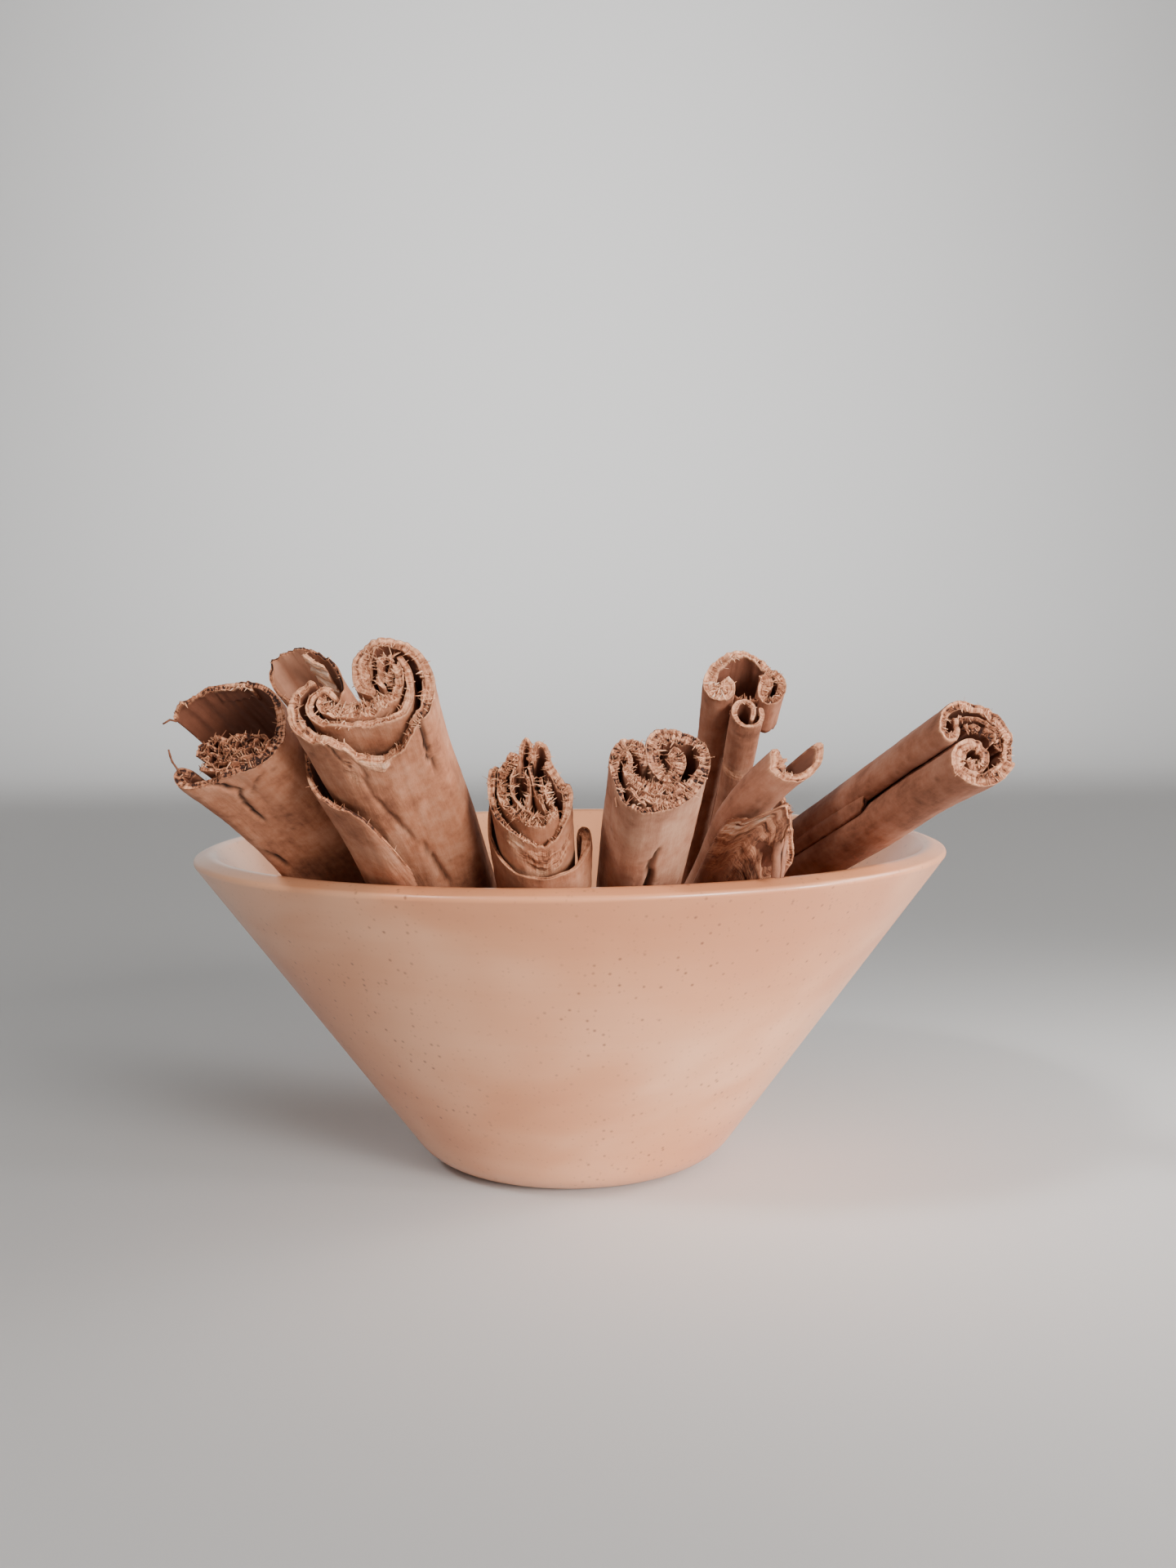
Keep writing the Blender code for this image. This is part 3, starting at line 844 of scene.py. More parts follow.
    def shard(
        self, fibres: bmesh.types.BMesh, section: Section, column: int, dice: np.random.Generator
    ) -> list[bmesh.types.BMVert]:
        """Sets one flat tapered fibre that lies on the torn face or stands out of it.

        Args:
            fibres: the bmesh of fibres.
            section: the sheet's section.
            column: where along the section it grows.
            dice: where its chance values come from.

        Returns:
            Its vertices.
        """
        part = dice.uniform(0.12, 1.0)
        offset = section.outer[column] * (1 - part) + section.inner[column] * part
        x, y = section.line[column, :2] + section.side[column] * offset
        lying = dice.random() < 0.55
        length = section.sheet.shard_length * dice.uniform(0.5, 1.35) * (1.0 if lying else 0.8)
        along = self.length + section.top[column] - (0.05 if lying else 0.3)
        base = Vector(self.place(np.array(x), np.array(y), np.array(along)))
        normal = self.across * section.side[column, 0] + self.up * section.side[column, 1]
        edge = self.axis.cross(normal)
        if lying:
            way = normal * dice.choice((-1.0, 1.0), p=(0.3, 0.7)) + edge * dice.normal(0, 0.35)
            way = way + self.axis * dice.uniform(-0.05, 0.45)
        else:
            way = self.axis + normal * dice.normal(0.1, 0.35) + edge * dice.normal(0, 0.35)
        way.normalize()
        width = dice.uniform(*SHARD_WIDTH)
        twist = Matrix.Rotation(dice.uniform(0, 2 * math.pi), 4, "Z")
        flat = Matrix.Diagonal((width * MM, width * 0.45 * MM, length * MM, 1.0))
        centre = base + way * length * MM * (0.25 if lying else 0.4)
        turn = way.to_track_quat("Z", "Y").to_matrix().to_4x4()
        verts = bmesh.ops.create_cone(
            fibres, cap_ends=True, segments=4, radius1=1.0, radius2=0.25, depth=1.0,
            matrix=Matrix.Translation(centre) @ turn @ twist @ flat,
        )["verts"]
        bend = edge * dice.normal(0, 0.12) * length * MM
        for vert in verts:
            if (vert.co - base).dot(way) > 0.5 * length * MM:
                vert.co += bend
        return verts

    def strand(self, fibres: bmesh.types.BMesh, start: Vector, end: Vector) -> list[bmesh.types.BMVert]:
        """Sets one straight stretch of a loose hair, and returns its vertices."""
        turn = (end - start).to_track_quat("Z", "Y").to_matrix().to_4x4()
        return bmesh.ops.create_cone(
            fibres, cap_ends=True, segments=5, radius1=0.16 * MM, radius2=0.12 * MM,
            depth=1.1 * (end - start).length, matrix=Matrix.Translation((start + end) / 2) @ turn,
        )["verts"]


@dataclass
class Bowl:
    """A turned bowl: a thin cone on a small flat foot."""

    rim_corner: float = 60.9
    rim_height: float = 51.35
    crest_radius: float = 58.2
    crest_height: float = 52.55
    mouth_radius: float = 57.0
    mouth_drop: float = 0.5
    base_corner: float = 23.1
    floor_radius: float = 20.0
    floor_height: float = 7.5
    base_rounding: float = 10.4
    rim_rounding: float = 0.7
    crest_rounding: float = 1.8
    mouth_rounding: float = 0.9
    floor_rounding: float = 4.0
    band_length: float = 2.5
    steps: int = 192

    def profile(self) -> list[Vector]:
        """Points of (radius, height) from the foot's middle over the rim to the floor's middle."""
        corners = (
            (0.0, 0.0, 0.0, 0),
            (self.base_corner, 0.0, self.base_rounding, 14),
            (self.rim_corner, self.rim_height, self.rim_rounding, 10),
            (self.crest_radius, self.crest_height, self.crest_rounding, 8),
            (self.mouth_radius, self.crest_height - self.mouth_drop, self.mouth_rounding, 6),
            (self.floor_radius, self.floor_height, self.floor_rounding, 8),
            (0.0, self.floor_height, 0.0, 0),
        )
        line = [Vector((0.0, 0.0))]
        for before, (r, z, rounding, count), after in zip(corners, corners[1:], corners[2:]):
            corner = Vector((r, z))
            back, on = (Vector(before[:2]) - corner).normalized(), (Vector(after[:2]) - corner).normalized()
            half = back.angle(on) / 2
            centre = corner + (back + on).normalized() * rounding / math.sin(half)
            start = corner + back * rounding / math.tan(half) - centre
            sweep = start.angle_signed(corner + on * rounding / math.tan(half) - centre)
            line += [centre + Matrix.Rotation(-sweep * i / count, 2) @ start for i in range(count + 1)]
        return [*line, Vector((0.0, self.floor_height))]

    def build(self, material: bpy.types.Material) -> bpy.types.Object:
        """Turns the bowl.

        Args:
            material: its finish.

        Returns:
            The bowl's object.
        """
        mesh = bmesh.new()
        line = self.profile()
        fine = [line[0]]
        for a, b in zip(line, line[1:]):
            count = max(1, round((b - a).length / self.band_length))
            fine += [a + (b - a) * i / count for i in range(1, count + 1)]
        verts = [mesh.verts.new((p.x * MM, 0.0, p.y * MM)) for p in fine]
        edges = [mesh.edges.new(pair) for pair in zip(verts, verts[1:])]
        bmesh.ops.spin(
            mesh, geom=verts + edges, cent=(0, 0, 0), axis=(0, 0, 1),
            angle=2 * math.pi, steps=self.steps, use_merge=True,
        )
        bmesh.ops.remove_doubles(mesh, verts=mesh.verts[:], dist=SEAM)
        bmesh.ops.recalc_face_normals(mesh, faces=mesh.faces[:])
        return finished(mesh, "turned_bowl", material)


@dataclass(frozen=True)
class Softbox:
    """A square soft light in metres and watts, with its beam's spread in degrees and the point it faces."""

    name: str
    place: Place
    size: float
    power: float
    colour: Colour
    spread: float = 180.0
    aim: Place = (0.0, -0.02, 0.045)


@dataclass
class Studio:
    """A pale floor that curves up behind, soft lights, and the camera.

    The camera's place is in millimetres, its turns in degrees, its focal length and the frame's height
    in the photograph's pixels, and the floor's sizes in metres. The sky's light grows from low to high
    towards its side.
    """

    camera_place: Place = (3.0, -260.0, 80.2)
    pitch: float = 4.1
    roll: float = 0.75
    focal_pixels: float = 1937.0
    frame_height: float = 1920.0
    floor_size: float = 3.0
    bend_start: float = 1.0
    bend_radius: float = 0.8
    sky_side: Place = (0.15, -0.95, 0.1)
    sky_low: float = 0.02
    sky_high: float = 0.66
    sky_colour: Colour = (1.0, 0.985, 0.97)

    def floor(self, material: bpy.types.Material) -> bpy.types.Object:
        """Lays the floor.

        Args:
            material: its finish.

        Returns:
            The floor's object, which is not part of the bowl.
        """
        mesh = bmesh.new()
        bmesh.ops.create_grid(mesh, x_segments=2, y_segments=60, size=self.floor_size)
        for vert in mesh.verts:
            over = vert.co.y - self.bend_start
            if over > 0:
                angle = min(over / self.bend_radius, math.pi / 2)
                rest = max(0.0, over - self.bend_radius * math.pi / 2)
                vert.co.y = self.bend_start + self.bend_radius * math.sin(angle)
                vert.co.z = self.bend_radius * (1 - math.cos(angle)) + rest
        return finished(mesh, "floor", material)

    def light(self, softbox: Softbox) -> None:
        """Hangs a softbox."""
        lamp = bpy.data.lights.new(softbox.name, "AREA")
        lamp.shape, lamp.size, lamp.energy, lamp.color = "SQUARE", softbox.size, softbox.power, softbox.colour
        lamp.spread = math.radians(softbox.spread)
        holder = bpy.data.objects.new(softbox.name, lamp)
        holder.location = softbox.place
        way = Vector(softbox.aim) - Vector(softbox.place)
        holder.rotation_euler = way.to_track_quat("-Z", "Y").to_euler()
        bpy.context.scene.collection.objects.link(holder)

    def world(self) -> None:
        """Sets a soft light from all round that grows towards one side."""
        world = bpy.data.worlds.new("studio")
        world.use_nodes = True
        nodes = Nodes(world.node_tree)
        way = nodes.add("TexCoord").outputs["Generated"]
        side = Vector(self.sky_side).normalized()
        aligned = nodes.add("VectorMath", operation="DOT_PRODUCT", in0=way, in1=side).outputs["Value"]
        strength = nodes.add(
            "MapRange", Value=aligned, in1=-0.7, in2=0.9, in3=self.sky_low, in4=self.sky_high
        ).outputs[0]
        sky = world.node_tree.nodes["Background"]
        sky.inputs[0].default_value = (*self.sky_colour, 1.0)
        world.node_tree.links.new(strength, sky.inputs[1])
        bpy.context.scene.world = world

    def camera(self) -> None:
        """Sets the camera at the photograph's view."""
        tilt, roll = math.radians(self.pitch), math.radians(self.roll)
        ahead = Vector((0.0, math.cos(tilt), -math.sin(tilt)))
        up = Vector((0.0, math.sin(tilt), math.cos(tilt)))
        right = Vector((1.0, 0.0, 0.0))
        side = math.cos(roll) * right - math.sin(roll) * up
        top = math.sin(roll) * right + math.cos(roll) * up
        lens = bpy.data.cameras.new("camera")
        lens.sensor_fit, lens.sensor_width, lens.sensor_height = "AUTO", 36.0, 36.0
        lens.lens = 36.0 * self.focal_pixels / self.frame_height
        lens.clip_start = 0.01
        holder = bpy.data.objects.new("camera", lens)
        turn = Matrix((side, top, -ahead)).transposed().to_4x4()
        holder.matrix_world = Matrix.Translation(Vector(self.camera_place) * MM) @ turn
        bpy.context.scene.collection.objects.link(holder)
        bpy.context.scene.camera = holder


SOFTBOXES = (
    Softbox("key", (0.6, -0.76, 0.26), 0.35, 14.0, (1.0, 0.98, 0.95)),
    Softbox("side", (0.34, 0.02, 0.16), 0.16, 0.2, (1.0, 0.99, 0.98), 80.0, (0.05, -0.01, 0.01)),
    Softbox("low", (0.5, -0.18, 0.07), 0.12, 0.1, (1.0, 0.99, 0.98), 34.0, (0.03, -0.03, 0.01)),
    Softbox("backdrop", (0.0, 0.8, 0.9), 1.0, 9.0, (1.0, 1.0, 1.0), 120.0, (0.0, 1.8, 0.45)),
    Softbox("top", (-0.26, -0.26, 0.42), 0.1, 0.03, (1.0, 0.99, 0.98), 18.0, (0.012, -0.045, 0.07)),
)

FLOOR = PlainFinish("pale_floor", (0.6, 0.595, 0.59))
TAN = BarkFinish("bark_tan")
LIGHT_INSIDE = BarkFinish("bark_light_inside", lining=srgb(186, 130, 102))
GREYED = BarkFinish(
    "bark_greyed", skin=srgb(152, 105, 82), shade=srgb(114, 72, 52), bloom=srgb(172, 129, 104),
    torn_pale=srgb(222, 166, 130), torn_mid=srgb(150, 94, 68),
)
BROWN = BarkFinish(
    "bark_brown", skin=srgb(146, 95, 72), shade=srgb(107, 66, 48), bloom=srgb(168, 119, 96),
    torn_pale=srgb(222, 164, 128), torn_mid=srgb(150, 92, 64),
)

# Far left: a wide quill with a flap, and crumpled layers in its end.
FLARED = Quill(
    "flared", top=(-41.4, -59.4, 74.9), bottom=(-17.9, 10.2, 18.7), slope=0.11, taper=0.74, finish=TAN,
    lean=(30.0, 0.0, -2.7), seed=1,
    sheets=[
        Sheet(
            "flared_outer", "quill_flared",
            [
                (-8.8, 4.0, -0.3, -0.5), (-7.7, 5.3, 0.1, -0.45), (-6.0, 6.2, 0.2, -0.45),
                (-3.7, 6.8, 0.5, -0.4), (0.3, 6.9, 0.2, -0.35), (3.7, 5.8, 0.6, -0.3), (5.6, 3.5, 0, -0.2),
                (6.4, 0.6, -0.5, 0.2), (6.2, -2.0, -0.1, 0.7), (5.0, -4.2, 0, 1.1), (3.0, -5.4, 0, 1.1),
                (0.8, -5.8, 0, 0.8), (-2.0, -6.1, -0.3, 0.3), (-4.5, -6.4, -0.7), (-6.1, -6.5, -0.4),
                (-7.3, -5.6, 0, 0.1), (-7.0, -4.5, 0.1, 0.1), (-5.5, -4.6, -0.6, 0.1),
            ],
            thickness=1.0, shards=70, ragged=0.55, pallor=-0.3, fray=0.7,
            hairs=(
                ((-49.6, -57.3, 74.4), (-50.4, -57.3, 74.6), (-51.3, -57.3, 74.1)),
                ((-48.0, -62.5, 68.1), (-48.9, -62.4, 69.4), (-49.2, -62.3, 70.1), (-49.4, -62.3, 71.0)),
            ),
            cracks=(
                Crack((33.6, -0.5), (31.2, 3.6), 0.4, 0.6), Crack((31.2, 3.6), (32.2, 7.8), 0.4, 0.6, 0.8),
                Crack((32.4, 7.0), (32.2, 13.0), 0.34, 0.55), Crack((36.0, 20.6), (35.0, 25.2), 0.45, 0.5),
                Crack((27.0, 2.2), (30.6, 6.4), 0.25, 0.3, 0.5),
                Crack((28.6, 8.2), (30.4, 9.6), 0.15, 0.25, 0.35),
                Crack((29.6, 12.4), (31.2, 11.4), 0.15, 0.25, 0.3),
            ),
        ),
        Sheet(
            "flared_core", "quill_flared_core",
            [
                (-4.8, -2.6, -0.3), (-4.3, -1.2, 0.4), (-2.6, -0.3, 0.2), (-1.0, -0.7, -0.2),
                (0.6, -0.4, 0.4), (2.4, -0.7), (4.2, -1.2, 0.4), (4.6, -2.4), (3.6, -3.6, 0.3),
                (2.0, -4.2, -0.1), (0.4, -4.4, 0.3), (-1.4, -4.8, -0.2), (-3.2, -4.8, 0.2), (-4.6, -4.2),
            ],
            thickness=0.5, ragged=0.8, relief=0.3, shards=90, shard_length=1.4, pallor=-0.28,
        ),
        Sheet(
            "flared_wave_a", None,
            [
                (-4.3, -2.4, -0.2), (-3.2, -1.4, 0.5), (-2.2, -1.9, -0.1), (-1.2, -1.3, 0.5), (-0.2, -1.8),
                (0.9, -1.3, 0.4), (2.0, -1.9, -0.2), (3.6, -1.6, 0.2),
            ],
            thickness=0.4, ragged=0.6, relief=0.25, shards=26, shard_length=1.4, depth=12.0, pallor=-0.3,
        ),
        Sheet(
            "flared_wave_b", None,
            [
                (-4.0, -3.3), (-2.8, -2.6, 0.4), (-1.5, -3.1), (-0.3, -2.4, 0.6), (1.0, -2.9),
                (2.3, -2.4, 0.3), (3.7, -2.8, -0.1),
            ],
            thickness=0.4, ragged=0.7, relief=0.25, shards=30, shard_length=1.6, depth=13.0, pallor=-0.3,
        ),
        Sheet(
            "flared_wave_c", None,
            [
                (-3.6, -4.1, 0.2), (-2.2, -3.6, -0.2), (-1.0, -4.0, 0.4), (0.3, -3.4), (1.5, -3.9, 0.3),
                (2.8, -3.3),
            ],
            thickness=0.4, ragged=0.6, relief=0.25, shards=26, shard_length=1.3, depth=11.0, pallor=-0.3,
        ),
        Sheet(
            "flared_rim", None, [(-3.4, 7.0, 0.4), (-0.7, 6.9, 0.5), (1.4, 6.6, 0.7), (2.2, 6.0, 0.3)],
            thickness=0.5, ragged=0.5, relief=0.2, shards=20, shard_length=0.7, depth=3.0, pallor=0.1,
        ),
    ],
)

# Behind the first: a half-open quill with a light inside.
SPLIT = Quill(
    "split", top=(-38.9, -21.0, 78.7), bottom=(0.8, 7.7, 10.0), slope=0.59, taper=0.74, finish=LIGHT_INSIDE,
    seed=2,
    sheets=[
        Sheet(
            "split_outer", "quill_split",
            [
                (-3.5, 0.3, -3.0, -0.4), (-5.5, 2.3, -1.5, -0.4), (-6.1, 4.7, -0.5, -0.4),
                (-5.1, 6.3, 0, -0.4), (-2.7, 6.5, 0.3, -0.4), (0.1, 5.7, 0.4, -0.4), (2.4, 3.8, -0.2, -0.4),
                (4.3, 1.3, 0, -0.3), (5.2, -1.2, -0.3, -0.3), (4.6, -2.8, -1.5, -0.2),
                (3.0, -2.6, -3.0, -0.2),
            ],
            thickness=0.9, shards=10, ragged=0.6, relief=0.15, pallor=-0.25, fray=0.4,
        ),
        Sheet(
            "split_strip", None, [(0.4, 4.3, 0.5), (0.9, 3.1, 1.5), (1.9, 1.9, 1.1), (3.3, 0.9, 0.4)],
            thickness=0.5, ragged=0.3, relief=0.12, shards=5, shard_length=0.8, depth=8.0, pallor=0.15,
            fray=0.3,
            scars=(Scar((2.2, 2.4), (3.2, 6.0), 0.05, 0.35),),
        ),
    ],
)

# The largest quill: three layers rolled from both sides, and a loose wrap round its left side.
WIDE = Quill(
    "wide", top=(-24.3, -67.7, 77.2), bottom=(-9.2, -2.0, 12.4), slope=0.29, taper=0.72, finish=TAN,
    lean=(30.0, 0.0, -1.0), seed=3,
    sheets=[
        Sheet(
            "wide_outer", "quill_wide",
            [
                (-5.8, 3.7, -0.2, -0.4), (-7.2, 3.3, 0, -0.3), (-8.4, 1.9, 0.1, -0.1), (-8.7, 0.1, 0, 0.2),
                (-8.4, -1.5, 0, 0.5), (-7.4, -3.0, 0.1, 0.6), (-5.8, -4.0, 0, 0.4), (-3.9, -4.7, 0, 0.2),
                (-2.3, -5.0, -0.5), (-1.4, -5.0, -2.6), (0.2, -5.0, -4.0), (1.8, -4.9, -4.3, 0.2),
                (3.2, -4.6, -3.8, 0.4), (4.4, -4.3, -2.9, 0.4), (6.7, -3.2, -0.6, 0.3), (8.1, -1.8, 0, 0.3),
                (8.5, 0.1, 0.1, 0.4), (8.5, 2.1, 0, 0.3), (7.9, 4.0, 0.2, 0.1), (6.8, 5.8, 0.1), (5.5, 7.0),
                (3.7, 7.6, 0.2), (1.8, 7.6, 0.1, 0.3), (0.3, 6.9, 0, 1.1), (-0.6, 5.5, -0.2, 1.5),
                (-0.7, 3.7, -0.4, 1.3), (0.2, 2.1, -0.3, 0.6), (1.7, 1.4, -0.6, 0.1),
            ],
            thickness=1.2, ragged=0.45, shards=240, relief=0.3, shard_length=1.1, fray=0.45,
            cracks=(
                Crack((23.9, -0.5), (23.8, 9.8), 0.3, 0.7),
                Crack((15.2, 1.0), (15.1, 9.0), 0.3, 0.25, 0.35),
                Crack((15.1, 8.5), (18.4, 19.0), 0.42, 0.5, 0.4),
                Crack((18.4, 18.5), (20.2, 30.0), 0.4, 0.6, 0.6),
                Crack((12.6, -0.3), (13.2, 3.4), 0.16, 0.2, 0.8),
                Crack((17.0, 1.0), (19.0, 1.6), 0.2, 0.2, 0.4),
            ),
            scars=(Scar((17.0, 0.5), (2.8, 1.1), 0.05, 0.35), Scar((14.0, 4.5), (0.8, 3.0), 0.05, -0.1)),
        ),
        Sheet(
            "wide_core", "quill_wide_core",
            [
                (-3.3, 1.4, -0.5, -0.3), (-4.7, 2.2, 0, -0.3), (-6.0, 1.8, 0.2, -0.2), (-6.4, 0.4, 0, -0.1),
                (-6.0, -0.9, 0.1, -0.1), (-4.7, -1.9), (-2.8, -2.5, 0.3), (0.3, -2.8, 0.1, 0.1),
                (3.4, -2.4, 0.2, 0.1), (5.5, -1.3, 0, 0.2), (6.2, 0.6, 0.3, 0.1), (6.0, 2.8, 0.4, -0.1),
                (5.4, 4.5, 0.2, -0.2), (4.4, 5.8, 0, -0.3),
            ],
            thickness=1.0, ragged=0.4, shards=110, relief=0.28, fray=0.4,
        ),
        Sheet(
            "wide_inner", None,
            [
                (-3.6, 2.6, -0.2), (-4.6, 2.1, 0, 0.1), (-5.2, 0.9, 0.1, 0.3), (-4.7, -0.3, 0.1, 0.9),
                (-3.2, -1.1, 0.2, 1.5), (-0.6, -1.5, 0.2, 1.7), (2.2, -1.1, 0.2, 1.6), (4.0, 0, 0.2, 0.9),
                (4.8, 1.4, 0.1, 0.3), (5.0, 3.0, 0.2, 0.1), (4.4, 4.8, 0.1),
            ],
            thickness=0.8, ragged=0.6, shards=280, relief=0.4, shard_length=1.25, depth=30.0, fray=0.8,
        ),
        Sheet(
            "wide_roll", None, [(3.1, 6.3), (2.6, 5.0, 0.2), (2.2, 3.6), (2.4, 2.2, 0.1), (3.2, 1.6, -0.2)],
            thickness=0.6, ragged=0.8, shards=70, relief=0.25, shard_length=1.4, depth=16.0, fray=0.5,
        ),
        Sheet(
            "wide_slips", None, [(3.9, 6.0, 0.2), (3.8, 4.6, 0.4), (3.3, 3.2), (3.7, 2.2, -0.2)],
            thickness=0.4, ragged=0.9, shards=70, shard_length=1.6, relief=0.2, depth=12.0, fray=0.5,
        ),
        Sheet(
            "wide_wrap", "quill_wide_wrap",
            [
                (-7.9, 5.4, -8.0, -0.5), (-9.6, 3.6, -9.4, -0.5), (-10.2, 0.6, -9.8, -0.5),
                (-10.0, -2.1, -9.8, -0.4), (-8.9, -4.4, -10.2, -0.3), (-6.9, -5.8, -10.5, -0.3),
                (-4.8, -6.6, -10.8, -0.4), (-3.3, -7.0, -13.0, -0.4), (-1.9, -7.1, -19.0, -0.5),
                (-0.6, -7.1, -24.4, -0.5),
            ],
            thickness=1.0, ragged=0.75, relief=0.16, shards=30, pallor=-0.25, fray=0.4,
        ),
    ],
)

# The short quill in the middle: torn layers that stand out of a low outer sheet.
UPRIGHT = Quill(
    "upright", top=(-4.3, -57.2, 65.3), bottom=(-0.6, -14.7, 12.1), slope=0.36, taper=0.76, finish=TAN,
    seed=4,
    sheets=[
        Sheet(
            "upright_outer", "quill_upright",
            [
                (-4.9, 4.0, 3.0, -0.4), (-5.9, 2.3, 1.5, -0.4), (-6.3, 0.3, 0.2, -0.4),
                (-5.7, -2.6, 0, -0.4), (-4.3, -5.0, 0, -0.4), (-2.0, -6.7, 0, -0.4), (1.1, -7.4, 0, -0.4),
                (3.5, -6.9, 0, -0.4), (5.4, -6.0, 0, -0.3), (6.6, -4.7, 0.4), (7.3, -3.2, 0.6, 0.4),
                (7.2, -1.6, 0.6, 0.7), (6.4, -1.0, 0.2, 0.6), (6.0, -1.9, -0.5, 0.3),
            ],
            thickness=0.8, ragged=0.1, relief=0.12, drop=-7.0, shards=10, shard_length=0.6, pallor=-0.1,
            fray=0.2,
        ),
        Sheet(
            "upright_core", "quill_upright_core",
            [
                (-4.2, 3.4, -0.2), (-5.0, 2.2, 0.2), (-5.2, 0.4, 0.1), (-5.1, -1.6), (-4.6, -3.2, -0.1),
                (-3.5, -4.6, -0.4), (-1.8, -5.6, -1.4), (0.4, -5.9, -2.9), (2.4, -5.6, -3.0),
                (4.0, -4.5, -0.8), (4.9, -2.9, 0, 0.3), (4.9, -1.2, 0.3, 0.5), (4.0, 0, 0.4, 0.4),
                (2.9, 1.3, 0.6, 0.2), (2.2, 2.9, 0.6),
            ],
            thickness=0.85, ragged=0.45, relief=0.3, shards=110, pallor=-0.08, fray=0.7,
            cracks=(
                Crack((10.0, 4.5), (13.5, 5.0), 0.25, 0.3, 0.6),
                Crack((13.0, 3.4), (16.5, 3.2), 0.2, 0.3, 0.6),
            ),
            scars=(Scar((14.0, 3.6), (4.4, 2.4), 0.15, -0.1), Scar((10.2, 1.6), (1.2, 2.0), 0.2, 0.3)),
        ),
        Sheet(
            "upright_layer", None,
            [
                (-2.6, 3.4, 0.5), (-3.7, 2.2, 0.1), (-3.9, 0.4), (-3.7, -1.4), (-2.9, -3.0, 0.1),
                (-1.5, -4.2), (0.4, -4.7, -0.2), (2.2, -4.4, -0.1), (3.4, -3.4),
            ],
            thickness=1.15, ragged=0.6, relief=0.42, shards=190, shard_length=1.2, depth=30.0, pallor=-0.15,
            fray=1.0,
        ),
        Sheet(
            "upright_ring", None,
            [
                (-1.9, 2.6, 0.8), (-2.5, 1.0, 0.2), (-2.4, -0.8), (-1.6, -2.2), (-0.1, -3.2, -0.2),
                (1.8, -3.6, -0.3), (3.2, -2.7),
            ],
            thickness=0.4, ragged=0.5, relief=0.2, shards=50, shard_length=1.1, depth=14.0,
        ),
        Sheet(
            "upright_fin_a", None, [(-1.2, 2.0, 0.8), (-0.3, 0.4, 0.3), (-0.9, -1.8, -0.4)],
            thickness=0.42, ragged=0.7, relief=0.2, shards=14, shard_length=1.2, depth=13.0,
        ),
        Sheet(
            "upright_fin_b", None, [(-0.2, 2.9, 0.9), (0.4, 0.4), (1.3, -1.8, -0.4), (2.0, -3.2, -0.6)],
            thickness=0.42, ragged=0.7, relief=0.2, shards=16, shard_length=1.2, depth=13.0,
        ),
        Sheet(
            "upright_fin_c", None, [(1.2, 1.4, 0.4), (1.4, -0.4, 0.3), (1.2, -1.9, -0.3)],
            thickness=0.4, ragged=0.6, relief=0.2, shards=20, shard_length=1.2, depth=11.0,
        ),
        Sheet(
            "upright_fin_d", None, [(2.5, 0.6, 0.4), (1.9, -1.0, 0.4), (2.9, -2.3, 0.2)],
            thickness=0.45, ragged=0.6, relief=0.2, shards=40, shard_length=1.1, depth=11.0, pallor=0.1,
        ),
        Sheet(
            "upright_peak_a", None,
            [(-1.3, 3.6, 0.2), (-1.1, 4.8, 1.2), (-0.5, 5.3, 1.7), (0.1, 4.6, 1.4), (-0.2, 3.3, 0.4)],
            thickness=0.5, ragged=0.4, relief=0.25, shards=22, depth=9.0, pallor=-0.1,
        ),
        Sheet(
            "upright_peak_b", None,
            [
                (0.4, 3.0), (0.4, 4.2, 1.0), (1.2, 4.8, 1.5), (2.1, 4.2, 1.3), (2.4, 3.1, 0.8),
                (1.6, 2.4, 0.2),
            ],
            thickness=0.6, ragged=0.5, relief=0.3, shards=50, depth=9.0, pallor=-0.1,
        ),
        Sheet(
            "upright_mass", None, [(-3.2, 2.6, 0.2), (-2.6, 3.7, 0.8), (-1.7, 3.5, 0.8), (-1.9, 2.4, 0.4)],
            thickness=0.9, ragged=0.5, relief=0.35, shards=40, depth=9.0, pallor=-0.15,
        ),
    ],
)

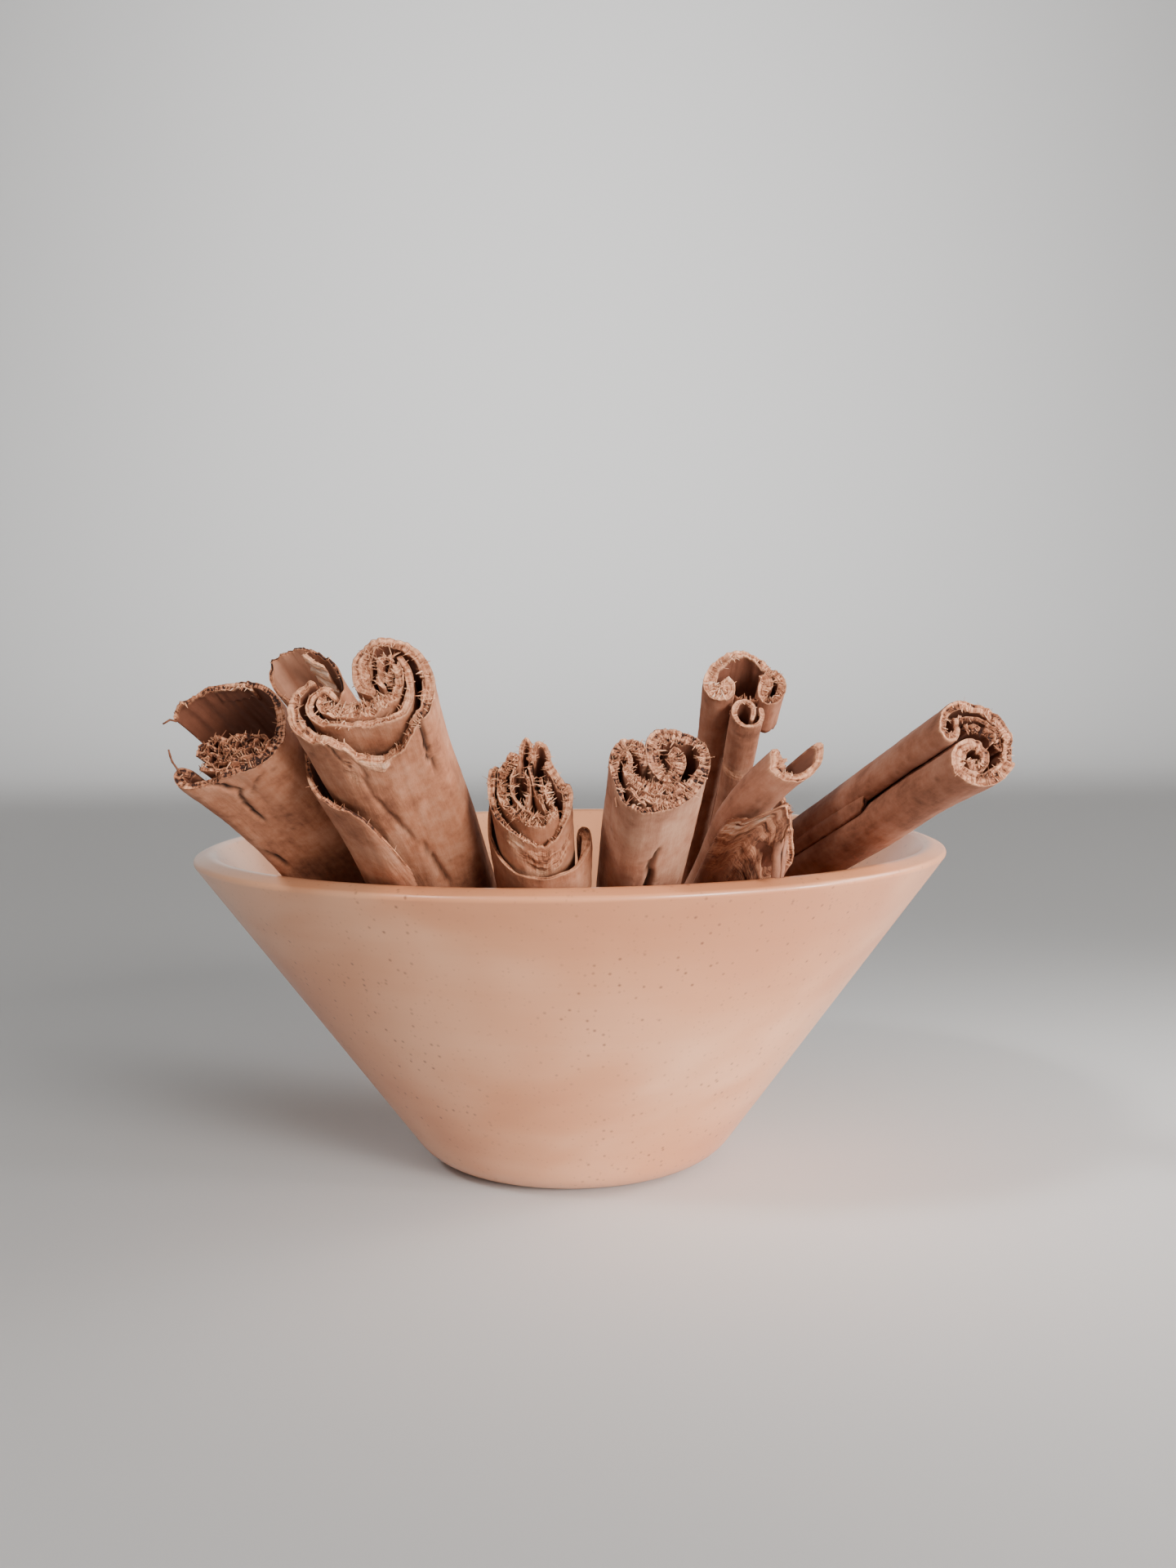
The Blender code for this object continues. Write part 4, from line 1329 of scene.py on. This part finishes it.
# The grey-brown quill whose end is rolled to a heart.
HEART = Quill(
    "heart", top=(12.0, -63.6, 67.5), bottom=(4.9, 0.3, 11.8), slope=0.19, taper=0.8, finish=GREYED, seed=5,
    sheets=[
        Sheet(
            "heart_outer", "quill_heart",
            [
                (-2.1, 0.7, 0, -0.2), (-2.0, 2.1), (-2.6, 3.3, 0.1, 0.4), (-3.8, 3.8, 0, 0.6),
                (-5.0, 3.4, 0, 0.4), (-5.7, 2.0, 0, 0.1), (-5.8, 0.3, 0, -0.1), (-5.3, -1.3, 0, -0.3),
                (-4.9, -2.9, 0, -0.5), (-4.1, -4.2, -0.1, -0.5), (-3.1, -4.9, 0, -0.4),
                (-1.9, -5.2, 0, -0.2), (0.1, -4.9, 0, 0.3), (2.1, -4.1, 0, 1.0), (4.0, -2.6, 0, 1.0),
                (5.2, -0.7, 0, 0.6), (5.8, 1.3, 0, 0.2), (5.5, 3.3, 0, 0.2), (4.4, 4.5, 0, 0.3),
                (2.5, 5.2, 0, 0.8), (0.5, 5.5, 0, 1.2), (-0.8, 4.8, 0, 1.1), (-1.2, 3.4, 0, 0.7),
                (-1.1, 1.7, -0.2, 0.5), (-0.5, 0.1, -0.2, 0.6), (0.8, -1.0, -0.1, 0.7), (2.0, -0.6, 0, 0.8),
                (2.7, 1.0, 0, 0.9), (2.4, 2.5, -0.1, 0.8), (1.3, 3.3, -0.3, 0.5),
            ],
            thickness=1.1, ragged=0.16, relief=0.32, shards=380, fray=1.1, shard_length=1.1, pallor=-0.14,
            column=0.18,
            cracks=(
                Crack((18.6, 8.6), (17.9, 12.0), 0.3, 0.5, 0.8),
                Crack((17.9, 11.6), (18.2, 24.0), 0.5, 1.0, 0.9),
            ),
        ),
        Sheet(
            "heart_belly", None,
            [
                (-4.2, 1.2, -0.3, -0.2), (-4.1, -0.1, -0.2), (-3.5, -1.3, -0.1, 0.3), (-2.2, -2.3, 0, 0.7),
                (0, -2.8, 0.1, 0.7), (2.0, -2.4, 0.1, 0.4), (3.0, -1.6, 0, 0.2),
            ],
            thickness=1.0, ragged=0.25, relief=0.32, shards=160, depth=30.0, fray=1.0, shard_length=1.15,
            pallor=-0.1, column=0.18,
        ),
        Sheet(
            "heart_slip", None,
            [(-4.3, -2.0, -0.5), (-3.4, -3.0, -0.1), (-2.6, -4.1, -0.2), (-1.8, -4.5, -0.3)],
            thickness=0.35, ragged=0.3, relief=0.2, shards=20, depth=20.0,
            hairs=(((6.9, -64.6, 65.2), (6.4, -64.8, 64.4), (6.5, -64.9, 63.4)),),
        ),
        Sheet(
            "heart_fold", None, [(-2.6, -3.0, -0.3), (-1.3, -3.9, -0.2), (0.3, -4.0, -0.1)],
            thickness=0.8, ragged=0.2, relief=0.2, shards=20, depth=20.0,
        ),
        Sheet(
            "heart_lobe", None,
            [(-5.0, 1.9, -0.2), (-4.4, 2.5, -0.1), (-3.8, 2.0), (-3.7, 1.0, -0.3), (-4.3, 0.3, -0.6)],
            thickness=0.5, ragged=0.25, relief=0.2, shards=20, depth=16.0,
        ),
    ],
)

# The tall flattened quill at the back, with a short right lobe.
FLAT = Quill(
    "flat", top=(24.9, -40.4, 77.4), bottom=(18.6, 14.3, 17.8), slope=0.29, taper=0.8, finish=BROWN, seed=6,
    sheets=[
        Sheet(
            "flat_outer", "quill_flat",
            [
                (-2.7, 1.6, -0.2, 0.9), (-1.9, 0.6, 0, 1.1), (-2.0, -0.8, 0.1, 1.1), (-3.1, -1.6, 0, 1.1),
                (-4.6, -1.2, 0, 1.1), (-5.3, 0.3, 0, 1.0), (-4.9, 2.1, -0.1, 0.7), (-3.6, 3.7, 0, 0.4),
                (-1.8, 4.7, 0.1, 0.2), (0.2, 4.9, 0.2), (2.2, 4.3, 0, 0.1), (3.4, 3.6, -0.4, 0.1),
            ],
            thickness=1.0, ragged=0.45, shards=110, relief=0.3, pallor=0.15, fray=0.55,
            cracks=(Crack((2.4, -0.2), (3.2, 0.6), 0.2, 0.2),),
        ),
        Sheet(
            "flat_lobe", None,
            [
                (2.4, 4.4, 0, 0.2), (4.0, 3.2, -0.4, 0.2), (5.2, 1.7, 0, 0.2), (5.2, -0.3, 0.2, 0.3),
                (4.1, -1.6, 0, 0.3), (2.8, -1.4, -0.6, 0.3), (2.3, 0, -0.2, 0.5), (2.7, 1.2, 0.2, 0.9),
                (2.2, 2.2, 0.3, 0.7),
            ],
            thickness=1.0, shards=90, relief=0.3, depth=5.4,
        ),
        Sheet(
            "flat_shelf", None, [(-1.4, 0.2, -1.6), (0.2, -0.4, -1.6), (2.2, -0.6, -1.2)],
            thickness=0.6, shards=16, depth=10.0, pallor=-0.2,
        ),
    ],
)

# The thin quill in front of the flattened one, on the same axis at its end.
THIN = Quill(
    "thin", top=(24.9, -40.4, 77.4), bottom=(19.5, 6.1, 26.7), slope=0.29, taper=0.85, finish=BROWN, seed=7,
    sheets=[
        Sheet(
            "thin_outer", "quill_thin",
            [
                (0.8, -4.7, -0.3), (1.2, -3.4, -0.2), (0.9, -2.4), (-0.1, -1.9, 0.1), (-1.2, -2.4),
                (-1.7, -3.7), (-1.1, -5.1), (0.4, -5.7), (1.9, -5.1), (2.4, -3.7, -0.1), (2.1, -2.5, -0.3),
            ],
            thickness=0.6, ragged=0.15, relief=0.12, shards=26, shard_length=0.6, fray=0.4,
            cracks=(
                Crack((5.8, 9.4), (11.0, 9.8), 0.24, 0.35, 0.8),
                Crack((6.0, 8.6), (8.4, 8.0), 0.16, 0.2, 0.5),
                Crack((6.6, 2.0), (10.2, 2.2), 0.16, 0.2, 0.5),
            ),
            scars=(Scar((8.4, 10.6), (2.6, 0.9), 0.1, 0.05),),
        ),
    ],
)

# The broken quill: a smooth roll, a rough belly and what is left inside.
BROKEN = Quill(
    "broken", top=(28.2, -57.6, 65.6), bottom=(11.5, 11.8, 12.8), slope=0.14, taper=0.78, finish=BROWN,
    lean=(15.0, 4.6, 1.5), seed=8,
    sheets=[
        Sheet(
            "broken_roll", "quill_broken",
            [
                (-1.3, 3.8, 0.5, -0.6), (-0.6, 3.4, 0.7, -0.5), (-0.3, 2.3, 0, -0.4),
                (-0.8, 0.9, -0.2, -0.2), (-1.8, -0.2, 0, 0.1), (-3.3, -0.8, -0.2, 0.3),
                (-4.8, -0.5, 0.1, 0.5), (-5.7, 0.5, 0, 0.9), (-6.0, 1.8, 0.3, 0.8), (-5.4, 3.1, -0.6, 0.1),
                (-4.0, 3.9, -1.2, -0.2),
            ],
            thickness=1.1, ragged=0.3, shards=50, shard_length=0.7, fray=0.5,
        ),
        Sheet(
            "broken_belly", "quill_broken_belly",
            [
                (-5.9, -0.6, -10.0, -0.4), (-5.8, -1.9, -7.5, -0.4), (-5.2, -3.2, -4.9, -0.4),
                (-4.6, -3.9, -2.2, -0.4), (-4.1, -4.4, 0.2, -0.4), (-3.2, -4.9, -1.0, -0.4),
                (-2.2, -5.2, -2.0, -0.4), (-0.9, -5.3, -4.0, -0.4), (0.4, -5.4, -7.5, -0.4),
                (1.5, -5.3, -10.0, -0.3), (2.6, -4.9, -10.0, -0.3), (3.7, -4.4, -12.5, -0.3),
                (5.0, -3.4, -14.0), (5.9, -1.0, -16.0), (5.6, 1.4, -15.0), (4.2, 3.3, -12.0),
                (2.4, 4.1, -10.0),
            ],
            thickness=1.1, ragged=0.45, relief=0.15, shards=30, shard_length=0.8, pallor=-0.1, fray=0.5,
            cracks=(
                Crack((6.4, 6.6), (9.4, 2.2), 0.75, 1.0), Crack((8.8, 5.6), (10.6, 1.4), 0.45, 0.9),
                Crack((3.0, 1.4), (4.8, 1.9), 0.2, 0.4, 0.7), Crack((2.6, 4.4), (3.8, 4.8), 0.16, 0.3, 0.6),
                Crack((4.4, 9.4), (6.6, 10.8), 0.2, 0.3, 0.5),
            ),
            scars=(Scar((6.0, 8.0), (7.0, 8.6), 0.2, -0.1), Scar((2.6, 2.6), (2.0, 2.6), 0.0, 0.6)),
        ),
        Sheet(
            "broken_core", "quill_broken_core",
            [
                (-3.2, -3.0, -3.0), (-1.6, -3.5, -4.0), (0.4, -3.6, -6.5), (2.2, -2.9, -9.0),
                (3.3, -1.2, -11.0), (3.1, 0.7, -11.0), (2.0, 1.6, -8.5), (1.2, 0.4, -7.0),
                (1.3, -1.2, -6.0),
            ],
            thickness=0.8, ragged=0.7, shards=60, pallor=-0.2,
        ),
    ],
)

# A strip that hangs at the right of the broken quill.
STRIP = Quill(
    "strip", top=(28.2, -54.6, 58.4), bottom=(27.6, -55.0, 52.6), slope=0.0, taper=0.9, finish=BROWN,
    seed=10,
    sheets=[
        Sheet(
            "broken_strip", None,
            [(-0.9, 0.3, -0.6), (-0.3, -0.1, 0.2), (0.3, 0.1, -0.4), (0.9, -0.2, 0.3)],
            thickness=0.9, ragged=0.5, relief=0.2, shards=24, shard_length=0.8, pallor=-0.2,
            cracks=(Crack((0.8, 1.2), (1.3, 3.4), 0.2, 0.35, 0.9),),
        ),
    ],
)

# The long quill that leans to the right.
LEANING = Quill(
    "leaning", top=(53.3, -56.6, 70.0), bottom=(19.4, 26.9, 31.1), slope=0.07, taper=0.82, finish=BROWN,
    seed=9,
    sheets=[
        Sheet(
            "leaning_outer", "quill_leaning",
            [
                (-3.6, 3.2, 0, -0.5), (-3.1, 1.9, -0.1, -0.4), (-3.7, 0.6, 0, 0.1), (-4.8, 0.6, 0, 0.2),
                (-5.2, 2.4), (-4.0, 4.4, 0.1), (-2.1, 5.1, 0.2, 0.1), (0.6, 4.8, 0, 0.1),
                (3.2, 3.8, 0.2, 0.3), (4.8, 1.9, 0, 0.4), (4.8, -0.3, -0.6, 0.4), (4.2, -2.6, 0.1, 0.6),
                (2.1, -4.5, 0, 0.8), (-0.4, -5.1, 0.1, 0.8), (-2.6, -4.3, 0, 0.7), (-3.7, -2.7, 0, 0.8),
                (-3.2, -1.0, 0, 0.9), (-1.6, 0.1, 0.1, 0.6), (0.3, -0.1, 0, 0.2), (1.2, -1.4, -0.1),
                (0.5, -2.7), (-0.8, -2.9, -0.1, 0.2), (-1.4, -1.8, 0, 0.2),
            ],
            thickness=1.1, ragged=0.4, relief=0.28, shards=280, shard_length=0.9,
        ),
        Sheet(
            "leaning_layer", None,
            [
                (-3.0, 3.3, -0.4), (-1.4, 3.5, -0.1), (0.6, 3.2), (2.4, 2.3, 0.1), (3.4, 1.0),
                (3.3, -0.4, -0.2),
            ],
            thickness=0.45, ragged=0.5, relief=0.2, shards=24, depth=14.0, pallor=-0.2,
        ),
        Sheet(
            "leaning_web", None, [(-4.5, 1.3, -21.0), (-4.8, 0, -22.0), (-4.3, -1.6, -23.0)],
            thickness=0.6, ragged=1.4, relief=0.1, shards=0, pallor=-0.3, fray=0.2,
        ),
        Sheet(
            "leaning_scrap", None,
            [(-1.9, 2.0, -0.9), (-0.6, 2.4, -0.3), (0.7, 1.9, -0.4), (1.6, 1.5, -0.1), (2.5, 0.5, -0.3)],
            thickness=1.0, ragged=0.8, relief=0.5, shards=50, depth=9.0, pallor=-0.35, fray=0.8,
        ),
    ],
)

QUILLS = [FLARED, SPLIT, WIDE, UPRIGHT, HEART, FLAT, THIN, BROKEN, STRIP, LEANING]


def main() -> None:
    """Builds the floor, the lights, the bowl and the quills."""
    studio = Studio()
    studio.camera()
    studio.world()
    for softbox in SOFTBOXES:
        studio.light(softbox)
    studio.floor(FLOOR.material())
    fibres, specks = fibre_effect(), speck_effect()
    bowl = Bowl().build(WoodFinish().material(fibres, specks))
    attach(bowl, "root")
    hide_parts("bowl")
    log.info("bowl: %d faces", len(bowl.data.polygons))
    finishes: dict[str, bpy.types.Material] = {}
    for quill in QUILLS:
        finish = quill.finish
        if finish.name not in finishes:
            finishes[finish.name] = finish.material(fibres, specks)
        for sheet in quill.sheets:
            piece = quill.build(sheet, finishes[finish.name])
            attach(piece, "root")
            if sheet.node:
                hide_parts(sheet.node)
            log.info("%s: %d faces", sheet.name, len(piece.data.polygons))


if __name__ == "__main__":
    main()
